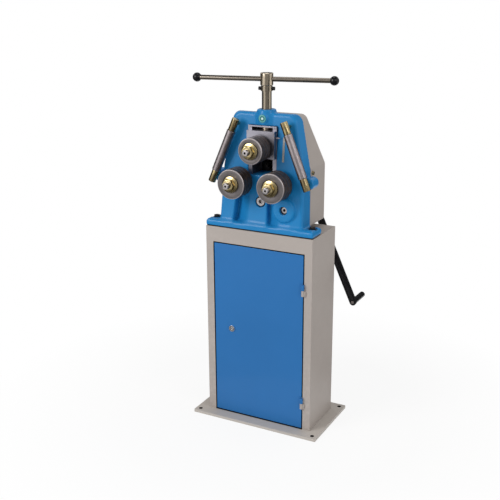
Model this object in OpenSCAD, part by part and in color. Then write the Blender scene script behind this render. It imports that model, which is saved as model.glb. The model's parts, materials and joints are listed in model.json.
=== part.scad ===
/* Hand-cranked three-roll bender on a floor cabinet. Millimetres, +Z up, -Y is the front.
   The origin is the centre of the base plate's underside. */

/* [Base and cabinet] */
// Width of the base plate
plate_w = 480; // [420:1:560]
// Depth of the base plate
plate_d = 280; // [220:1:360]
// Thickness of the base plate
plate_t = 10; // [6:0.5:16]
// Diameter of the floor bolt holes
floor_hole_d = 13; // [9:0.5:18]
// Distance of the floor bolt holes from the plate's edges
floor_hole_inset = 18; // [14:1:28]
// Width of the cabinet
cab_w = 400; // [390:1:410]
// Depth of the cabinet
cab_d = 190; // [180:1:200]
// Sheet thickness of the cabinet
cab_sheet = 3; // [2:0.5:4]
// Thickness of the plate under the cabinet top that carries the head
head_plate_t = 12; // [8:1:20]

/* [Door] */
// Height of the door
door_h = 629; // [560:1:700]
// Width of the cabinet's front beside the door
door_post_w = 28.5; // [20:0.5:40]
// Height of the cabinet's front above the door
door_head_h = 54; // [40:1:80]
// Gap round the door
door_gap = 3.5; // [2:0.5:6]
// Depth of the door's folded edges
door_fold = 16; // [10:1:24]
// Sheet thickness of the door
door_sheet = 2; // [1:0.5:3]
// Diameter of the hinge knuckles
hinge_d = 10; // [8:0.5:14]
// Diameter of the hinge pins
hinge_pin_d = 5; // [4:0.5:6]
// Height of one hinge knuckle
hinge_knuckle_h = 20; // [14:1:30]
// Height of the lower hinge's middle above the base plate
hinge_low_h = 101; // [80:1:160]
// Height of the upper hinge's middle above the base plate
hinge_high_h = 513; // [420:1:560]
// Height of the lock above the base plate
lock_h = 327; // [260:1:400]
// Distance of the lock from the door's free edge
lock_inset = 66; // [50:1:90]
// Diameter of the lock's barrel
lock_barrel_d = 16; // [14:1:20]
// Length of the lock's cam from the lock's axis
lock_cam_len = 88; // [80:1:96]

/* [Head casting] */
// Depth of the casting's foot flange
flange_d = 73; // [66:1:80]
// Thickness of the foot flange under its bolts
flange_t = 20; // [14:1:26]
// Depth of the casting's wall at its foot
wall_d = 62; // [58:1:66]
// Lean of the wall's front face from upright
wall_lean = 5.6; // [3:0.1:7]
// Width of the wall up to its shoulders
wall_w = 314; // [308:1:320]
// Width of the wall's top before rounding
wall_top_w = 236; // [228:1:246]
// Height of the shoulders above the cabinet
shoulder_h = 214; // [205:1:222]
// Height of the wall's top above the cabinet
wall_h = 391; // [388:1:400]
// Height of the spindle boss above the wall's top
spindle_boss_h = 11; // [6:1:20]
// Diameter of the spindle boss
spindle_boss_d = 62; // [58:1:68]
// Depth of the recesses in the lower wall
recess_d = 24; // [16:1:30]
// Size of the casting bolts' shanks
casting_bolt_d = 12; // [10:1:14]
// Distance of the casting bolts from the cabinet's sides
casting_bolt_inset = 20; // [17:1:26]

/* [Rolls] */
// Distance between the lower roll axes
roll_spread = 144; // [140:1:150]
// Height of the lower roll axes above the cabinet
lower_axis_h = 166.5; // [160:0.5:172]
// Height of the upper roll axis above the cabinet
upper_axis_h = 281; // [277:1:285]
// Diameter of the lower rolls
lower_roll_d = 99; // [80:1:104]
// Diameter of the upper roll
upper_roll_d = 86; // [70:1:92]
// Width of the front ring of each roll
front_ring_w = 22; // [16:1:28]
// Width of each other ring of a roll
rear_ring_w = 18; // [12:1:22]
// Width of the grooves between the rings
ring_groove_w = 2.5; // [2:0.5:5]
// Depth of the grooves between the rings
ring_groove_depth = 5; // [3:0.5:10]
// Bore of the rolls
roll_bore = 32; // [28:1:34]
// Diameter of the lower shafts in their bushes
lower_journal_d = 35; // [33:1:38]
// Diameter of the upper shaft in its bush
upper_journal_d = 33; // [33:1:34]
// Diameter of the shafts' threaded front ends
shaft_stub_d = 22; // [16:1:26]
// Length of the shafts in front of the rolls
shaft_stub_len = 34; // [30:1:44]
// Diameter of the roll washers
roll_washer_d = 54; // [44:1:60]
// Width across flats of the roll nuts
roll_nut_af = 36; // [32:1:40]

/* [Gears] */
// Module of the gears
gear_module = 3; // [2.9:0.05:3.1]
// Teeth of each roll gear
roll_teeth = 40; // [38:1:41]
// Teeth of the idler gear
idler_teeth = 25; // [24:1:27]
// Teeth of the crank pinion
pinion_teeth = 17; // [16:1:18]
// Width of the gears
gear_w = 25; // [16:1:30]
// Distance of the gears behind the casting's wall
gear_back = 48; // [46:1:52]

/* [Press slide and spindle] */
// Distance of the spindle's axis in front of the cabinet's middle
spindle_front = 29; // [26:1:32]
// Diameter of the spindle
spindle_d = 32; // [30:0.5:33]
// Free length of the spindle above its boss
spindle_free_len = 76; // [66:1:96]
// Width of the slide's front plate
slide_w = 101; // [97:1:105]
// Height of the slide block
slide_h = 90; // [86:1:94]
// Height of the slide's underside above the cabinet
slide_base_h = 246; // [244:1:250]
// Width of the slide between its rails
slide_body_w = 75; // [72:1:78]
// Thickness of the slide's front plate
slide_plate_t = 14; // [10:1:16]
// Diameter of the handle hub
hub_d = 42; // [38:1:50]
// Height of the handle hub
hub_h = 40; // [32:1:50]
// Diameter of the stop collar
collar_d = 38; // [36:1:46]
// Height of the stop collar
collar_h = 16; // [12:1:20]
// Diameter of the cross bar
bar_d = 16; // [12:0.5:18]
// Distance between the centres of the ball knobs
bar_len = 463; // [400:1:560]
// Diameter of the ball knobs
knob_d = 30; // [26:1:36]
// Turn of the cross bar as it rests
bar_turn = 10; // [0:1:30]
// Shift of the cross bar along itself as it rests
bar_shift = 9; // [0:1:30]

/* [Side guides] */
// Length of each side guide with its end blocks
guide_len = 232; // [220:1:240]
// Lean of the side guides from upright
guide_lean = 22.8; // [20:0.1:25]
// Tilt of the side guides to the back
guide_tilt = 2.4; // [0:0.1:5.6]
// Distance of each guide's middle from the centre line
guide_x = 131; // [129:0.25:134]
// Height of each guide's middle above the cabinet
guide_h = 264; // [260:1:268]
// Distance of the guides in front of the wall
guide_stand = 25.5; // [24:0.5:34]
// Diameter of the turning sleeves
guide_sleeve_d = 29; // [26:0.5:31]
// Diameter of the end blocks
guide_block_d = 25; // [21:0.5:27]
// Length of the end blocks
guide_block_len = 42; // [36:1:48]
// Diameter of the guide axles
guide_axle_d = 14; // [10:0.5:16]

/* [Gear cover and crank] */
// Depth of the gear cover behind the wall
cover_d = 117; // [110:1:125]
// Width of the gear cover
cover_w = 314; // [308:1:322]
// Height of the cover's underside above the cabinet
cover_base_h = 21; // [16:1:30]
// Height of the cover's top above the cabinet
cover_top_h = 375; // [372:1:378]
// Width of the cover's top before rounding
cover_top_w = 166; // [156:1:176]
// Sheet thickness of the cover
cover_sheet = 2; // [1.5:0.5:3]
// Length of the crank from shaft to grip
crank_len = 400; // [300:1:440]
// Angle of the crank from straight down as it rests
crank_angle = 24.5; // [0:0.5:60]
// Width of the crank arm
crank_w = 24; // [20:1:30]
// Thickness of the crank arm
crank_t = 10; // [8:1:14]
// Length of the crank's hub
crank_hub_len = 44; // [30:1:60]
// Diameter of the crank shaft
crank_shaft_d = 20; // [18:1:22]
// Diameter of the crank grip
grip_d = 21; // [18:1:28]
// Length of the crank grip
grip_len = 84; // [70:1:110]

/* [Hidden] */
$fn = 64;

// Clearances and overruns
over = 1;
gap = 0.3;
run_fit = 0.05;
seam = 0.01;
corner_steps = 8;

// Base plate and cabinet
plate_corner = 2.5;
cab_h = door_h + 2 * door_gap + door_head_h;
cab_base_z = plate_t;
cab_top_z = plate_t + cab_h;
cab_front_y = -cab_d / 2;
cab_back_y = cab_d / 2;
lip_d = 17;

// Door
door_w = cab_w - 2 * (door_post_w + door_gap);
door_base_z = cab_base_z + door_gap;
door_top_z = door_base_z + door_h;
hinge_x = door_w / 2 + door_gap / 2;
hinge_y = cab_front_y - hinge_d / 2 - gap;
hinge_leaf_w = 9;
hinge_leaf_near = 2;
hinge_leaf_h_share = 0.8;
hinge_heights = [hinge_low_h, hinge_high_h];
lock_x = -door_w / 2 + lock_inset;
lock_z = cab_base_z + lock_h;
lock_head_d = 22;
lock_head_t = 4;
lock_cyl_d = 11;
lock_cyl_proud = 1;
lock_key_w = 1.6;
lock_key_h = 6;
lock_key_depth = 4;
lock_cam_t = 3;
lock_cam_w = 18;
lock_cam_gap = 0.6;
lock_cam_y = cab_front_y + lip_d + lock_cam_gap;
lock_post_d = 7;

// Casting
wall_back_y = cab_front_y + flange_d;
wall_foot_y = wall_back_y - wall_d;
flange_corner = 14;
flange_round = 10;
wall_corner = 33;
wall_round = 18;
shoulder_drop = 1;
round_steps = 5;
flange_top_z = cab_top_z + flange_t;
spot_depth = 6;
flange_high_z = flange_top_z + spot_depth;
wall_top_z = cab_top_z + wall_h;
boss_top_z = wall_top_z + spindle_boss_h;
left_recess_x0 = -90;
left_recess_x1 = -38;
left_recess_h = 118;
right_recess_x0 = 30;
right_recess_x1 = 62;
right_recess_h = 92;
crank_boss_d = 92;
crank_boss_proud = 1;
crank_boss_y = wall_foot_y - crank_boss_proud;
bearing_boss_d = 64;
bearing_reach = 58;
rear_boss_d = 58;
idler_boss_d = 50;
rear_block_w = 132;
rear_block_d = 34;
rear_block_top_h = 370;
rear_block_base_h = 178;
lug_d = 38;
cover_lug_w = 22;
cover_lug_d = 24;
cover_lug_h = 26;
cover_lug_heights = [200];
casting_bolt_back = 42;
casting_bolt_x = cab_w / 2 - casting_bolt_inset;
casting_bolt_y = cab_front_y + casting_bolt_back;
wrench_room_d = 32;
wrench_room_h = 40;
casting_hole_d = casting_bolt_d + 1;
casting_bolt_af = 19;
casting_bolt_head_h = 8;
casting_bolt_reach = 10;
washer_d = 25;
washer_t = 2.5;

// Rolls and shafts
lower_z = cab_top_z + lower_axis_h;
upper_z = cab_top_z + upper_axis_h;
roll_x = roll_spread / 2;
roll_w = front_ring_w + 2 * rear_ring_w + 2 * ring_groove_w;
bearing_front_y = wall_back_y - bearing_reach;
shaft_collar_t = 5.7;
roll_back_y = bearing_front_y - gap - shaft_collar_t;
roll_front_y = roll_back_y - roll_w;
shaft_tip_y = roll_front_y - shaft_stub_len;
shaft_collar_d = 48;
shaft_centre_d = 6;
shaft_centre_depth = 8;
shaft_tip_chamfer = 2;
ring_chamfer = 1.5;
roll_washer_t = 4;
roll_nut_h = 17;
bush_wall = 5.5;
lower_bush_len = 38;
lower_gear_bore = 30;
shaft_tail_len = 3;
upper_bush_wall = 5.5;
retainer_d = 42;
retainer_t = 12;
retainer_bore = 24;

// Gears
gear_y0 = wall_back_y + gear_back;
gear_y1 = gear_y0 + gear_w;
pressure_angle = 20;
backlash = 0.3;
addendum_share = 1;
dedendum_share = 1.25;
flank_steps = 5;
rear_boss_end_y = gear_y0 - gap;
idler_drop = sqrt(pow(mesh_distance(roll_teeth, idler_teeth), 2) - pow(roll_x, 2));
idler_z = lower_z - idler_drop;
pinion_dir = -77;
pinion_reach = mesh_distance(roll_teeth, pinion_teeth);
crank_x = roll_x + pinion_reach * cos(pinion_dir);
crank_z = lower_z + pinion_reach * sin(pinion_dir);
idler_dir = atan2(idler_z - lower_z, -roll_x);
left_dir = atan2(lower_z - idler_z, -roll_x);
right_phase = 0;
idler_phase = mesh_phase(idler_dir, right_phase, roll_teeth, idler_teeth);
left_phase = mesh_phase(left_dir, idler_phase, idler_teeth, roll_teeth);
pinion_phase = mesh_phase(pinion_dir, right_phase, roll_teeth, pinion_teeth);
idler_axle_d = 25;
idler_axle_start = 12;
idler_head_d = 40;
idler_head_t = 6;
idler_screw_d = 16;
idler_front_y = wall_face(idler_z);
idler_screw_head_d = 30;
idler_screw_drop = 1.5;
idler_screw_head_h = 15;
idler_screw_reach = 24;
idler_socket_af = 12;
idler_socket_depth = 9;
idler_sink_d = 36;
gear_web_t = 11;
gear_rim = 11;
gear_hub_wall = 9;

// Slide and spindle
spindle_y = -spindle_front;
slide_side_gap = 1.5;
window_w = slide_w + 2 * slide_side_gap;
window_base_h = 188;
slide_base_z = cab_top_z + slide_base_h;
slide_top_z = slide_base_z + slide_h;
slide_up_room = 10;
strip_h = 5;
strip_d = 14;
window_top_z = slide_top_z + slide_up_room + strip_h;
way_reach = 39;
rail_gap = 0.15;
rail_front_y = wall_back_y - way_reach;
rail_back_y = wall_back_y + rear_block_d;
slide_plate_front_y = rail_front_y - rail_gap - slide_plate_t;
slide_back_y = rail_back_y + rail_gap;
back_plate_t = 9;
back_plate_h = 80;
back_screw_d = 6;
back_screw_x = 28;
back_screw_z = 30;
back_screw_head_d = 10;
back_screw_head_h = 4;
back_screw_reach = 18;
pocket_depth = 28;
pocket_clear = 0.5;
thrust_pad_t = 4;
thrust_gap = 0.1;
spindle_base_z = slide_top_z - pocket_depth + thrust_pad_t + thrust_gap;
spindle_groove_depth = 4;
spindle_groove_h = 6.6;
spindle_groove_up = 8;
spindle_pin_d = 6;
spindle_pin_gap = 0.15;
spindle_top_z = boss_top_z + spindle_free_len;
spindle_tenon_d = 24;
spindle_tenon_h = 10;
hub_top_z = spindle_top_z + hub_h;
bar_z = spindle_top_z + hub_h / 2;
hub_chamfer = 1.5;
nut_wall = 7;
nut_cap = 4;
spindle_hole_clear = 1;
collar_drop = 18;
collar_top_z = spindle_top_z - collar_drop + collar_h;
collar_screw_d = 5;
collar_head_d = 12;
collar_head_len = 8;
knob_seat_depth = 11;
strip_scale_w = 7;
strip_scale_h = 80;
strip_scale_t = 1.2;
strip_scale_x = 76.5;
strip_scale_base_h = 238;
strip_scale_z = cab_top_z + strip_scale_base_h;
pointer_len = 17;
pointer_w = 4;
pointer_t = 2;
pointer_inset = 4;
pointer_y = slide_plate_front_y + slide_plate_t - pointer_inset;
pointer_drop = 20;

// Side guides
guide_stud_d = 13;
guide_stud_inset = 19;
guide_end_gap = 0.4;
guide_z = cab_top_z + guide_h;
guide_y = wall_face(guide_z) - guide_stand;
guide_stud_reach = guide_len / 2 - guide_stud_inset;
guide_axis = [sin(guide_lean), cos(guide_lean) * sin(guide_tilt), cos(guide_lean) * cos(guide_tilt)];
lug_x = guide_x + guide_stud_reach * guide_axis[0];
lug_z = guide_z - guide_stud_reach * guide_axis[2];

// Cover and crank
cover_back_y = wall_back_y + cover_d;
cover_shoulder_h = 216;
cover_corner = 25;
cover_low_corner = 6;
cover_notch_gap = 1.5;
cover_screw_d = 6;
cover_screw_head_d = 13;
cover_screw_head_h = 6;
cover_screw_reach = 16;
crank_bush_wall = 4;
crank_bush_len = 44;
crank_flange_d = 46;
crank_flange_t = 4;
crank_bush_inner = 8;
crank_tip_inset = 3;
crank_centre_d = 8;
crank_hub_d = 38;
crank_hub_y0 = cover_back_y + crank_flange_t + gap;
crank_hub_y1 = crank_hub_y0 + crank_hub_len;
grip_pin_d = 10;
grip_pin_head_d = 15;
grip_pin_head_t = 3;
grip_gap = 0.4;
grip_end_x = crank_x + crank_len * sin(crank_angle);
grip_end_z = crank_z - crank_len * cos(crank_angle);

// Where the wall's leaning front face is at a height
function wall_face(z) = wall_foot_y + (z - flange_top_z) * tan(wall_lean);

// Centre distance of two meshing gears
function mesh_distance(za, zb) = gear_module * (za + zb) / 2;

// Phase of gear b that meshes with gear a, which lies in direction dir from a to b
function mesh_phase(dir, phase_a, za, zb) =
    dir + 180 - 180 / zb + (dir - phase_a) * za / zb;

// Involute angle in degrees
function involute(a) = tan(a) * 180 / PI - a;

// Half of a tooth's angle at a radius
function half_tooth(z, radius) =
    let (pitch_r = gear_module * z / 2, base_r = pitch_r * cos(pressure_angle))
    90 / z - backlash / 2 / pitch_r * 90 / PI + involute(pressure_angle)
    - involute(acos(min(1, base_r / radius)));

// Outline of a gear with z teeth
function gear_points(z) =
    let (pitch_r = gear_module * z / 2, tip_r = pitch_r + addendum_share * gear_module,
         root_r = pitch_r - dedendum_share * gear_module,
         low_r = max(root_r, pitch_r * cos(pressure_angle)))
    [for (k = [0 : z - 1])
        let (mid = k * 360 / z)
        for (p = concat(
            [[root_r, mid - half_tooth(z, low_r)]],
            [for (i = [0 : flank_steps])
                let (r = low_r + (tip_r - low_r) * i / flank_steps) [r, mid - half_tooth(z, r)]],
            [for (i = [flank_steps : -1 : 0])
                let (r = low_r + (tip_r - low_r) * i / flank_steps) [r, mid + half_tooth(z, r)]],
            [[root_r, mid + half_tooth(z, low_r)]]))
            p[0] * [cos(p[1]), sin(p[1])]];

function unit(v) = v / norm(v);

// Arc that rounds the corner b between a and c
function corner_arc(a, b, c, r) =
    let (u = unit(a - b), v = unit(c - b), half = acos(u * v) / 2,
         centre = b + unit(u + v) * r / sin(half),
         start = b + u * r / tan(half), end = b + v * r / tan(half),
         a0 = atan2(start[1] - centre[1], start[0] - centre[0]),
         a1 = atan2(end[1] - centre[1], end[0] - centre[0]),
         sweep = ((a1 - a0 + 540) % 360) - 180)
    r <= 0 ? [b] : [for (i = [0 : corner_steps])
        let (t = a0 + sweep * i / corner_steps) centre + r * [cos(t), sin(t)]];

// Outline with each corner rounded by its own radius
function rounded(points, radii) =
    let (n = len(points))
    [for (i = [0 : n - 1])
        for (p = corner_arc(points[(i + n - 1) % n], points[i], points[(i + 1) % n], radii[i])) p];

// Shared shapes
module block(lo, hi) {
    translate(lo) cube(hi - lo);
}

module y_rod(d, y0, y1) {
    translate([0, y0, 0]) rotate([-90, 0, 0]) cylinder(d = d, h = y1 - y0);
}

module y_tube(od, id, y0, y1) {
    difference() {
        y_rod(od, y0, y1);
        y_rod(id, y0 - over, y1 + over);
    }
}

module y_prism(y0, y1) {
    translate([0, y1, 0]) rotate([90, 0, 0]) linear_extrude(height = y1 - y0) children();
}

module z_rod(d, z0, z1) {
    translate([0, 0, z0]) cylinder(d = d, h = z1 - z0);
}

module x_rod(d, x0, x1) {
    translate([x0, 0, 0]) rotate([0, 90, 0]) cylinder(d = d, h = x1 - x0);
}

module hexagon(af) {
    circle(d = af / cos(30), $fn = 6);
}

module at_xz(x, z) {
    translate([x, 0, z]) children();
}

// Solid of revolution about the Y axis from [radius, y] points
module y_turned(points) {
    rotate([-90, 0, 0]) rotate_extrude() polygon(points);
}

// Leans a shape as the wall's front face leans
module leaned(y) {
    multmatrix([[1, 0, 0, 0], [0, 1, tan(wall_lean), y], [0, 0, 1, 0], [0, 0, 0, 1]]) children();
}

// Convex outline in XZ as the wall's solid, with its leaning front edge rounded
module soft_front(r) {
    hull() {
        for (i = [0 : round_steps])
            let (a = 90 * i / round_steps)
                leaned(wall_face(0) + r * (1 - sin(a)))
                    y_prism(0, seam) offset(delta = -r * (1 - cos(a))) children();
        y_prism(wall_back_y - seam, wall_back_y) children();
    }
}

// Places on both sides of the machine
module both_sides() {
    for (side = [0, 1]) mirror([side, 0, 0]) children();
}

// Base and cabinet
module base_plate() {
    color([0.66, 0.64, 0.61])
    difference() {
        linear_extrude(height = plate_t) polygon(rounded(
            [for (c = [[-1, -1], [1, -1], [1, 1], [-1, 1]]) [c[0] * plate_w / 2, c[1] * plate_d / 2]],
            [for (i = [0 : 3]) plate_corner]));
        for (sx = [-1, 1], sy = [-1, 1])
            translate([sx * (plate_w / 2 - floor_hole_inset), sy * (plate_d / 2 - floor_hole_inset), 0])
                z_rod(floor_hole_d, -over, plate_t + over);
    }
}

module cabinet_shell() {
    hole_w = door_w + 2 * door_gap;
    hole_top = door_top_z + door_gap;
    color([0.66, 0.64, 0.61])
    difference() {
        union() {
            difference() {
                block([-cab_w / 2, cab_front_y, cab_base_z], [cab_w / 2, cab_back_y, cab_top_z]);
                block([-cab_w / 2 + cab_sheet, cab_front_y + cab_sheet, cab_base_z - over],
                      [cab_w / 2 - cab_sheet, cab_back_y - cab_sheet, cab_top_z - cab_sheet]);
            }
            block([-hole_w / 2 - cab_sheet, cab_front_y, cab_base_z],
                  [hole_w / 2 + cab_sheet, cab_front_y + lip_d, hole_top + cab_sheet]);
        }
        block([-hole_w / 2, cab_front_y - over, cab_base_z - over],
              [hole_w / 2, cab_front_y + lip_d + over, hole_top]);
        for (side = [-1, 1]) translate([side * casting_bolt_x, casting_bolt_y, 0])
            z_rod(casting_hole_d, cab_top_z - cab_sheet - over, cab_top_z + over);
    }
}

module head_plate() {
    color([0.35, 0.35, 0.36])
    difference() {
        block([-cab_w / 2 + cab_sheet, cab_front_y + cab_sheet, cab_top_z - cab_sheet - head_plate_t],
              [cab_w / 2 - cab_sheet, cab_back_y - cab_sheet, cab_top_z - cab_sheet]);
        for (side = [-1, 1]) translate([side * casting_bolt_x, casting_bolt_y, 0])
            z_rod(casting_bolt_d, cab_top_z - cab_sheet - head_plate_t - over, cab_top_z);
    }
}

// Door, hinges and lock
module door_panel() {
    color([0.16, 0.40, 0.66])
    difference() {
        block([-door_w / 2, cab_front_y, door_base_z], [door_w / 2, cab_front_y + door_fold, door_top_z]);
        block([-door_w / 2 + door_sheet, cab_front_y + door_sheet, door_base_z + door_sheet],
              [door_w / 2 - door_sheet, cab_front_y + door_fold + over, door_top_z - door_sheet]);
        at_xz(lock_x, lock_z) y_rod(lock_barrel_d, cab_front_y - over, cab_front_y + door_sheet + over);
    }
}

module hinge_leaf(side, z0) {
    leaf_h = hinge_knuckle_h * hinge_leaf_h_share;
    x_far = hinge_x + side * hinge_leaf_w;
    x_near = hinge_x + side * hinge_leaf_near;
    difference() {
        union() {
            translate([hinge_x, hinge_y, 0]) z_rod(hinge_d, z0, z0 + hinge_knuckle_h);
            block([min(x_far, x_near), hinge_y, z0 + (hinge_knuckle_h - leaf_h) / 2],
                  [max(x_far, x_near), cab_front_y, z0 + (hinge_knuckle_h + leaf_h) / 2]);
        }
        translate([hinge_x, hinge_y, 0])
            z_rod(hinge_pin_d + (side < 0 ? 2 * run_fit : 0), z0 - over, z0 + hinge_knuckle_h + over);
    }
}

module hinge_frame_leaves() {
    color([0.66, 0.64, 0.61])
    for (h = hinge_heights) hinge_leaf(1, cab_base_z + h - hinge_knuckle_h - gap / 2);
}

module hinge_door_leaves() {
    color([0.16, 0.40, 0.66])
    for (h = hinge_heights) hinge_leaf(-1, cab_base_z + h + gap / 2);
}

module hinge_pins() {
    color([0.70, 0.70, 0.72])
    for (h = hinge_heights) translate([hinge_x, hinge_y, 0])
        z_rod(hinge_pin_d, cab_base_z + h - hinge_knuckle_h, cab_base_z + h + hinge_knuckle_h);
}

module lock_body() {
    color([0.75, 0.75, 0.77])
    at_xz(lock_x, lock_z) difference() {
        union() {
            y_rod(lock_head_d, cab_front_y - lock_head_t, cab_front_y);
            y_rod(lock_barrel_d, cab_front_y, lock_cam_y - gap);
        }
        y_rod(lock_cyl_d + 2 * run_fit, cab_front_y - lock_head_t - over, lock_cam_y + over);
    }
}

module lock_cylinder() {
    front_y = cab_front_y - lock_head_t - lock_cyl_proud;
    color([0.62, 0.62, 0.64])
    at_xz(lock_x, lock_z) difference() {
        union() {
            y_rod(lock_cyl_d, front_y, lock_cam_y);
            y_rod(lock_post_d, lock_cam_y, lock_cam_y + lock_cam_t);
        }
        block([-lock_key_w / 2, front_y - over, -lock_key_h / 2],
              [lock_key_w / 2, front_y + lock_key_depth, lock_key_h / 2]);
    }
}

module lock_cam() {
    color([0.70, 0.70, 0.72])
    at_xz(lock_x, lock_z) difference() {
        union() {
            y_rod(lock_cam_w, lock_cam_y, lock_cam_y + lock_cam_t);
            block([-lock_cam_w / 2, lock_cam_y, 0],
                  [lock_cam_w / 2, lock_cam_y + lock_cam_t, lock_cam_len]);
        }
        y_rod(lock_post_d, lock_cam_y - over, lock_cam_y + lock_cam_t + over);
    }
}

// Casting
module wall_outline() {
    polygon(rounded(
        [[-wall_w / 2, cab_top_z], [wall_w / 2, cab_top_z],
         [wall_w / 2 - shoulder_drop, cab_top_z + shoulder_h], [wall_top_w / 2, wall_top_z],
         [-wall_top_w / 2, wall_top_z], [-wall_w / 2 + shoulder_drop, cab_top_z + shoulder_h]],
        [0, 0, wall_corner, wall_corner, wall_corner, wall_corner]));
}

// Foot flange with its top edges rounded at the front and the ends
module flange_slab() {
    intersection() {
        translate([0, 0, cab_top_z]) linear_extrude(height = flange_t + spot_depth) flange_outline();
        y_prism(cab_front_y - over, wall_back_y + over) polygon(rounded(
            [[-cab_w / 2, cab_top_z], [cab_w / 2, cab_top_z],
             [cab_w / 2, flange_high_z], [-cab_w / 2, flange_high_z]],
            [0, 0, flange_round, flange_round]));
        rotate([0, 0, 90]) y_prism(-cab_w / 2 - over, cab_w / 2 + over) polygon(rounded(
            [[cab_front_y, cab_top_z], [wall_back_y, cab_top_z],
             [wall_back_y, flange_high_z], [cab_front_y, flange_high_z]],
            [0, 0, 0, flange_round]));
    }
}

module flange_outline() {
    polygon(rounded(
        [[-cab_w / 2, cab_front_y], [cab_w / 2, cab_front_y],
         [cab_w / 2, wall_back_y], [-cab_w / 2, wall_back_y]],
        [flange_corner, flange_corner, flange_corner, flange_corner]));
}

module casting_solid() {
    difference() {
        soft_front(wall_round) wall_outline();
        block([left_recess_x0, wall_foot_y - flange_t, flange_top_z - over],
              [left_recess_x1, wall_foot_y + recess_d, flange_top_z + left_recess_h]);
        block([right_recess_x0, wall_foot_y - flange_t, flange_top_z - over],
              [right_recess_x1, wall_foot_y + recess_d, flange_top_z + right_recess_h]);
    }
    flange_slab();
    at_xz(crank_x, crank_z) y_rod(crank_boss_d, crank_boss_y, rear_boss_end_y);
    for (side = [-1, 1]) at_xz(side * roll_x, lower_z) {
        y_rod(bearing_boss_d, bearing_front_y, wall_back_y - over);
        y_rod(rear_boss_d, wall_back_y - over, rear_boss_end_y);
    }
    at_xz(0, idler_z) y_rod(idler_boss_d, wall_back_y - over, rear_boss_end_y);
    for (side = [-1, 1]) at_xz(side * lug_x, lug_z) y_rod(lug_d, wall_face(lug_z), wall_back_y);
    block([-rear_block_w / 2, wall_back_y - over, cab_top_z + rear_block_base_h],
          [rear_block_w / 2, rail_back_y, cab_top_z + rear_block_top_h]);
    translate([0, spindle_y, 0]) z_rod(spindle_boss_d, window_top_z, boss_top_z);
    both_sides() for (h = cover_lug_heights) translate([cover_w / 2 - cover_sheet, 0, cab_top_z + h])
        block([-cover_lug_w, wall_back_y - over, -cover_lug_h / 2],
              [0, wall_back_y + cover_lug_d, cover_lug_h / 2]);
}

module main_casting() {
    color([0.20, 0.48, 0.74])
    difference() {
        casting_solid();
        block([-window_w / 2, wall_foot_y - over, cab_top_z + window_base_h],
              [window_w / 2, rail_back_y + over, window_top_z]);
        translate([0, spindle_y, 0]) {
            z_rod(spindle_d + 2 * nut_wall, window_top_z - over, boss_top_z - nut_cap);
            z_rod(spindle_d + 2 * spindle_hole_clear, window_top_z - over, boss_top_z + over);
        }
        for (side = [-1, 1]) at_xz(side * roll_x, lower_z)
            y_rod(lower_journal_d + 2 * bush_wall, bearing_front_y - over, rear_boss_end_y + over);
        at_xz(crank_x, crank_z)
            y_rod(crank_shaft_d + 2 * crank_bush_wall, crank_boss_y - over, rear_boss_end_y + over);
        at_xz(0, idler_z) {
            y_rod(idler_sink_d, wall_foot_y, idler_front_y + idler_screw_drop + idler_screw_head_h);
            y_rod(idler_screw_d, wall_foot_y, wall_back_y + over);
            y_rod(idler_axle_d, wall_back_y - idler_axle_start, rear_boss_end_y + over);
        }
        for (side = [-1, 1]) translate([side * casting_bolt_x, casting_bolt_y, 0]) {
            z_rod(casting_hole_d, cab_top_z - over, flange_top_z + over);
            z_rod(wrench_room_d, flange_top_z, flange_top_z + wrench_room_h);
        }
        both_sides() for (h = cover_lug_heights)
            translate([0, wall_back_y + cover_lug_d / 2, cab_top_z + h])
                x_rod(cover_screw_d, cover_w / 2 - cover_screw_reach, cover_w / 2);
        for (side = [-1, 1], end = [-1, 1]) guide_stud(side, end);
    }
}

module casting_bolts() {
    tip_z = cab_top_z - cab_sheet - head_plate_t - casting_bolt_reach;
    head_z = flange_top_z + washer_t;
    color([0.10, 0.10, 0.11])
    for (side = [-1, 1]) translate([side * casting_bolt_x, casting_bolt_y, 0]) {
        z_rod(casting_bolt_d, tip_z, head_z);
        translate([0, 0, head_z]) linear_extrude(height = casting_bolt_head_h) hexagon(casting_bolt_af);
    }
}

module casting_washers() {
    color([0.16, 0.16, 0.17])
    for (side = [-1, 1]) translate([side * casting_bolt_x, casting_bolt_y, 0]) difference() {
        z_rod(washer_d, flange_top_z, flange_top_z + washer_t);
        z_rod(casting_bolt_d, flange_top_z - over, flange_top_z + washer_t + over);
    }
}

// Fixed pieces of the slide way
module slide_rails() {
    color([0.62, 0.62, 0.64])
    both_sides()
        block([slide_body_w / 2 + rail_gap, rail_front_y, cab_top_z + window_base_h],
              [window_w / 2, rail_back_y, window_top_z - strip_h]);
}

module window_strip() {
    color([0.72, 0.72, 0.75])
    block([-window_w / 2, rail_front_y, window_top_z - strip_h],
          [window_w / 2, rail_front_y + strip_d, window_top_z]);
}

module spindle_nut() {
    color([0.72, 0.52, 0.26])
    translate([0, spindle_y, 0]) difference() {
        z_rod(spindle_d + 2 * nut_wall, window_top_z, boss_top_z - nut_cap);
        z_rod(spindle_d + 2 * run_fit, window_top_z - over, boss_top_z + over);
    }
}

module scale_strip() {
    color([0.72, 0.72, 0.70])
    translate([strip_scale_x, wall_face(strip_scale_z), strip_scale_z]) rotate([-wall_lean, 0, 0])
        block([-strip_scale_w / 2, -strip_scale_t, 0], [strip_scale_w / 2, 0, strip_scale_h]);
}

// Bushes, idler axle and its screw
module lower_roll_bushes() {
    color([0.72, 0.52, 0.26])
    for (side = [-1, 1]) at_xz(side * roll_x, lower_z) {
        y_tube(lower_journal_d + 2 * bush_wall, lower_journal_d + 2 * run_fit,
               bearing_front_y, bearing_front_y + lower_bush_len);
        y_tube(lower_journal_d + 2 * bush_wall, lower_journal_d + 2 * run_fit,
               rear_boss_end_y - lower_bush_len, rear_boss_end_y);
    }
}

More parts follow.
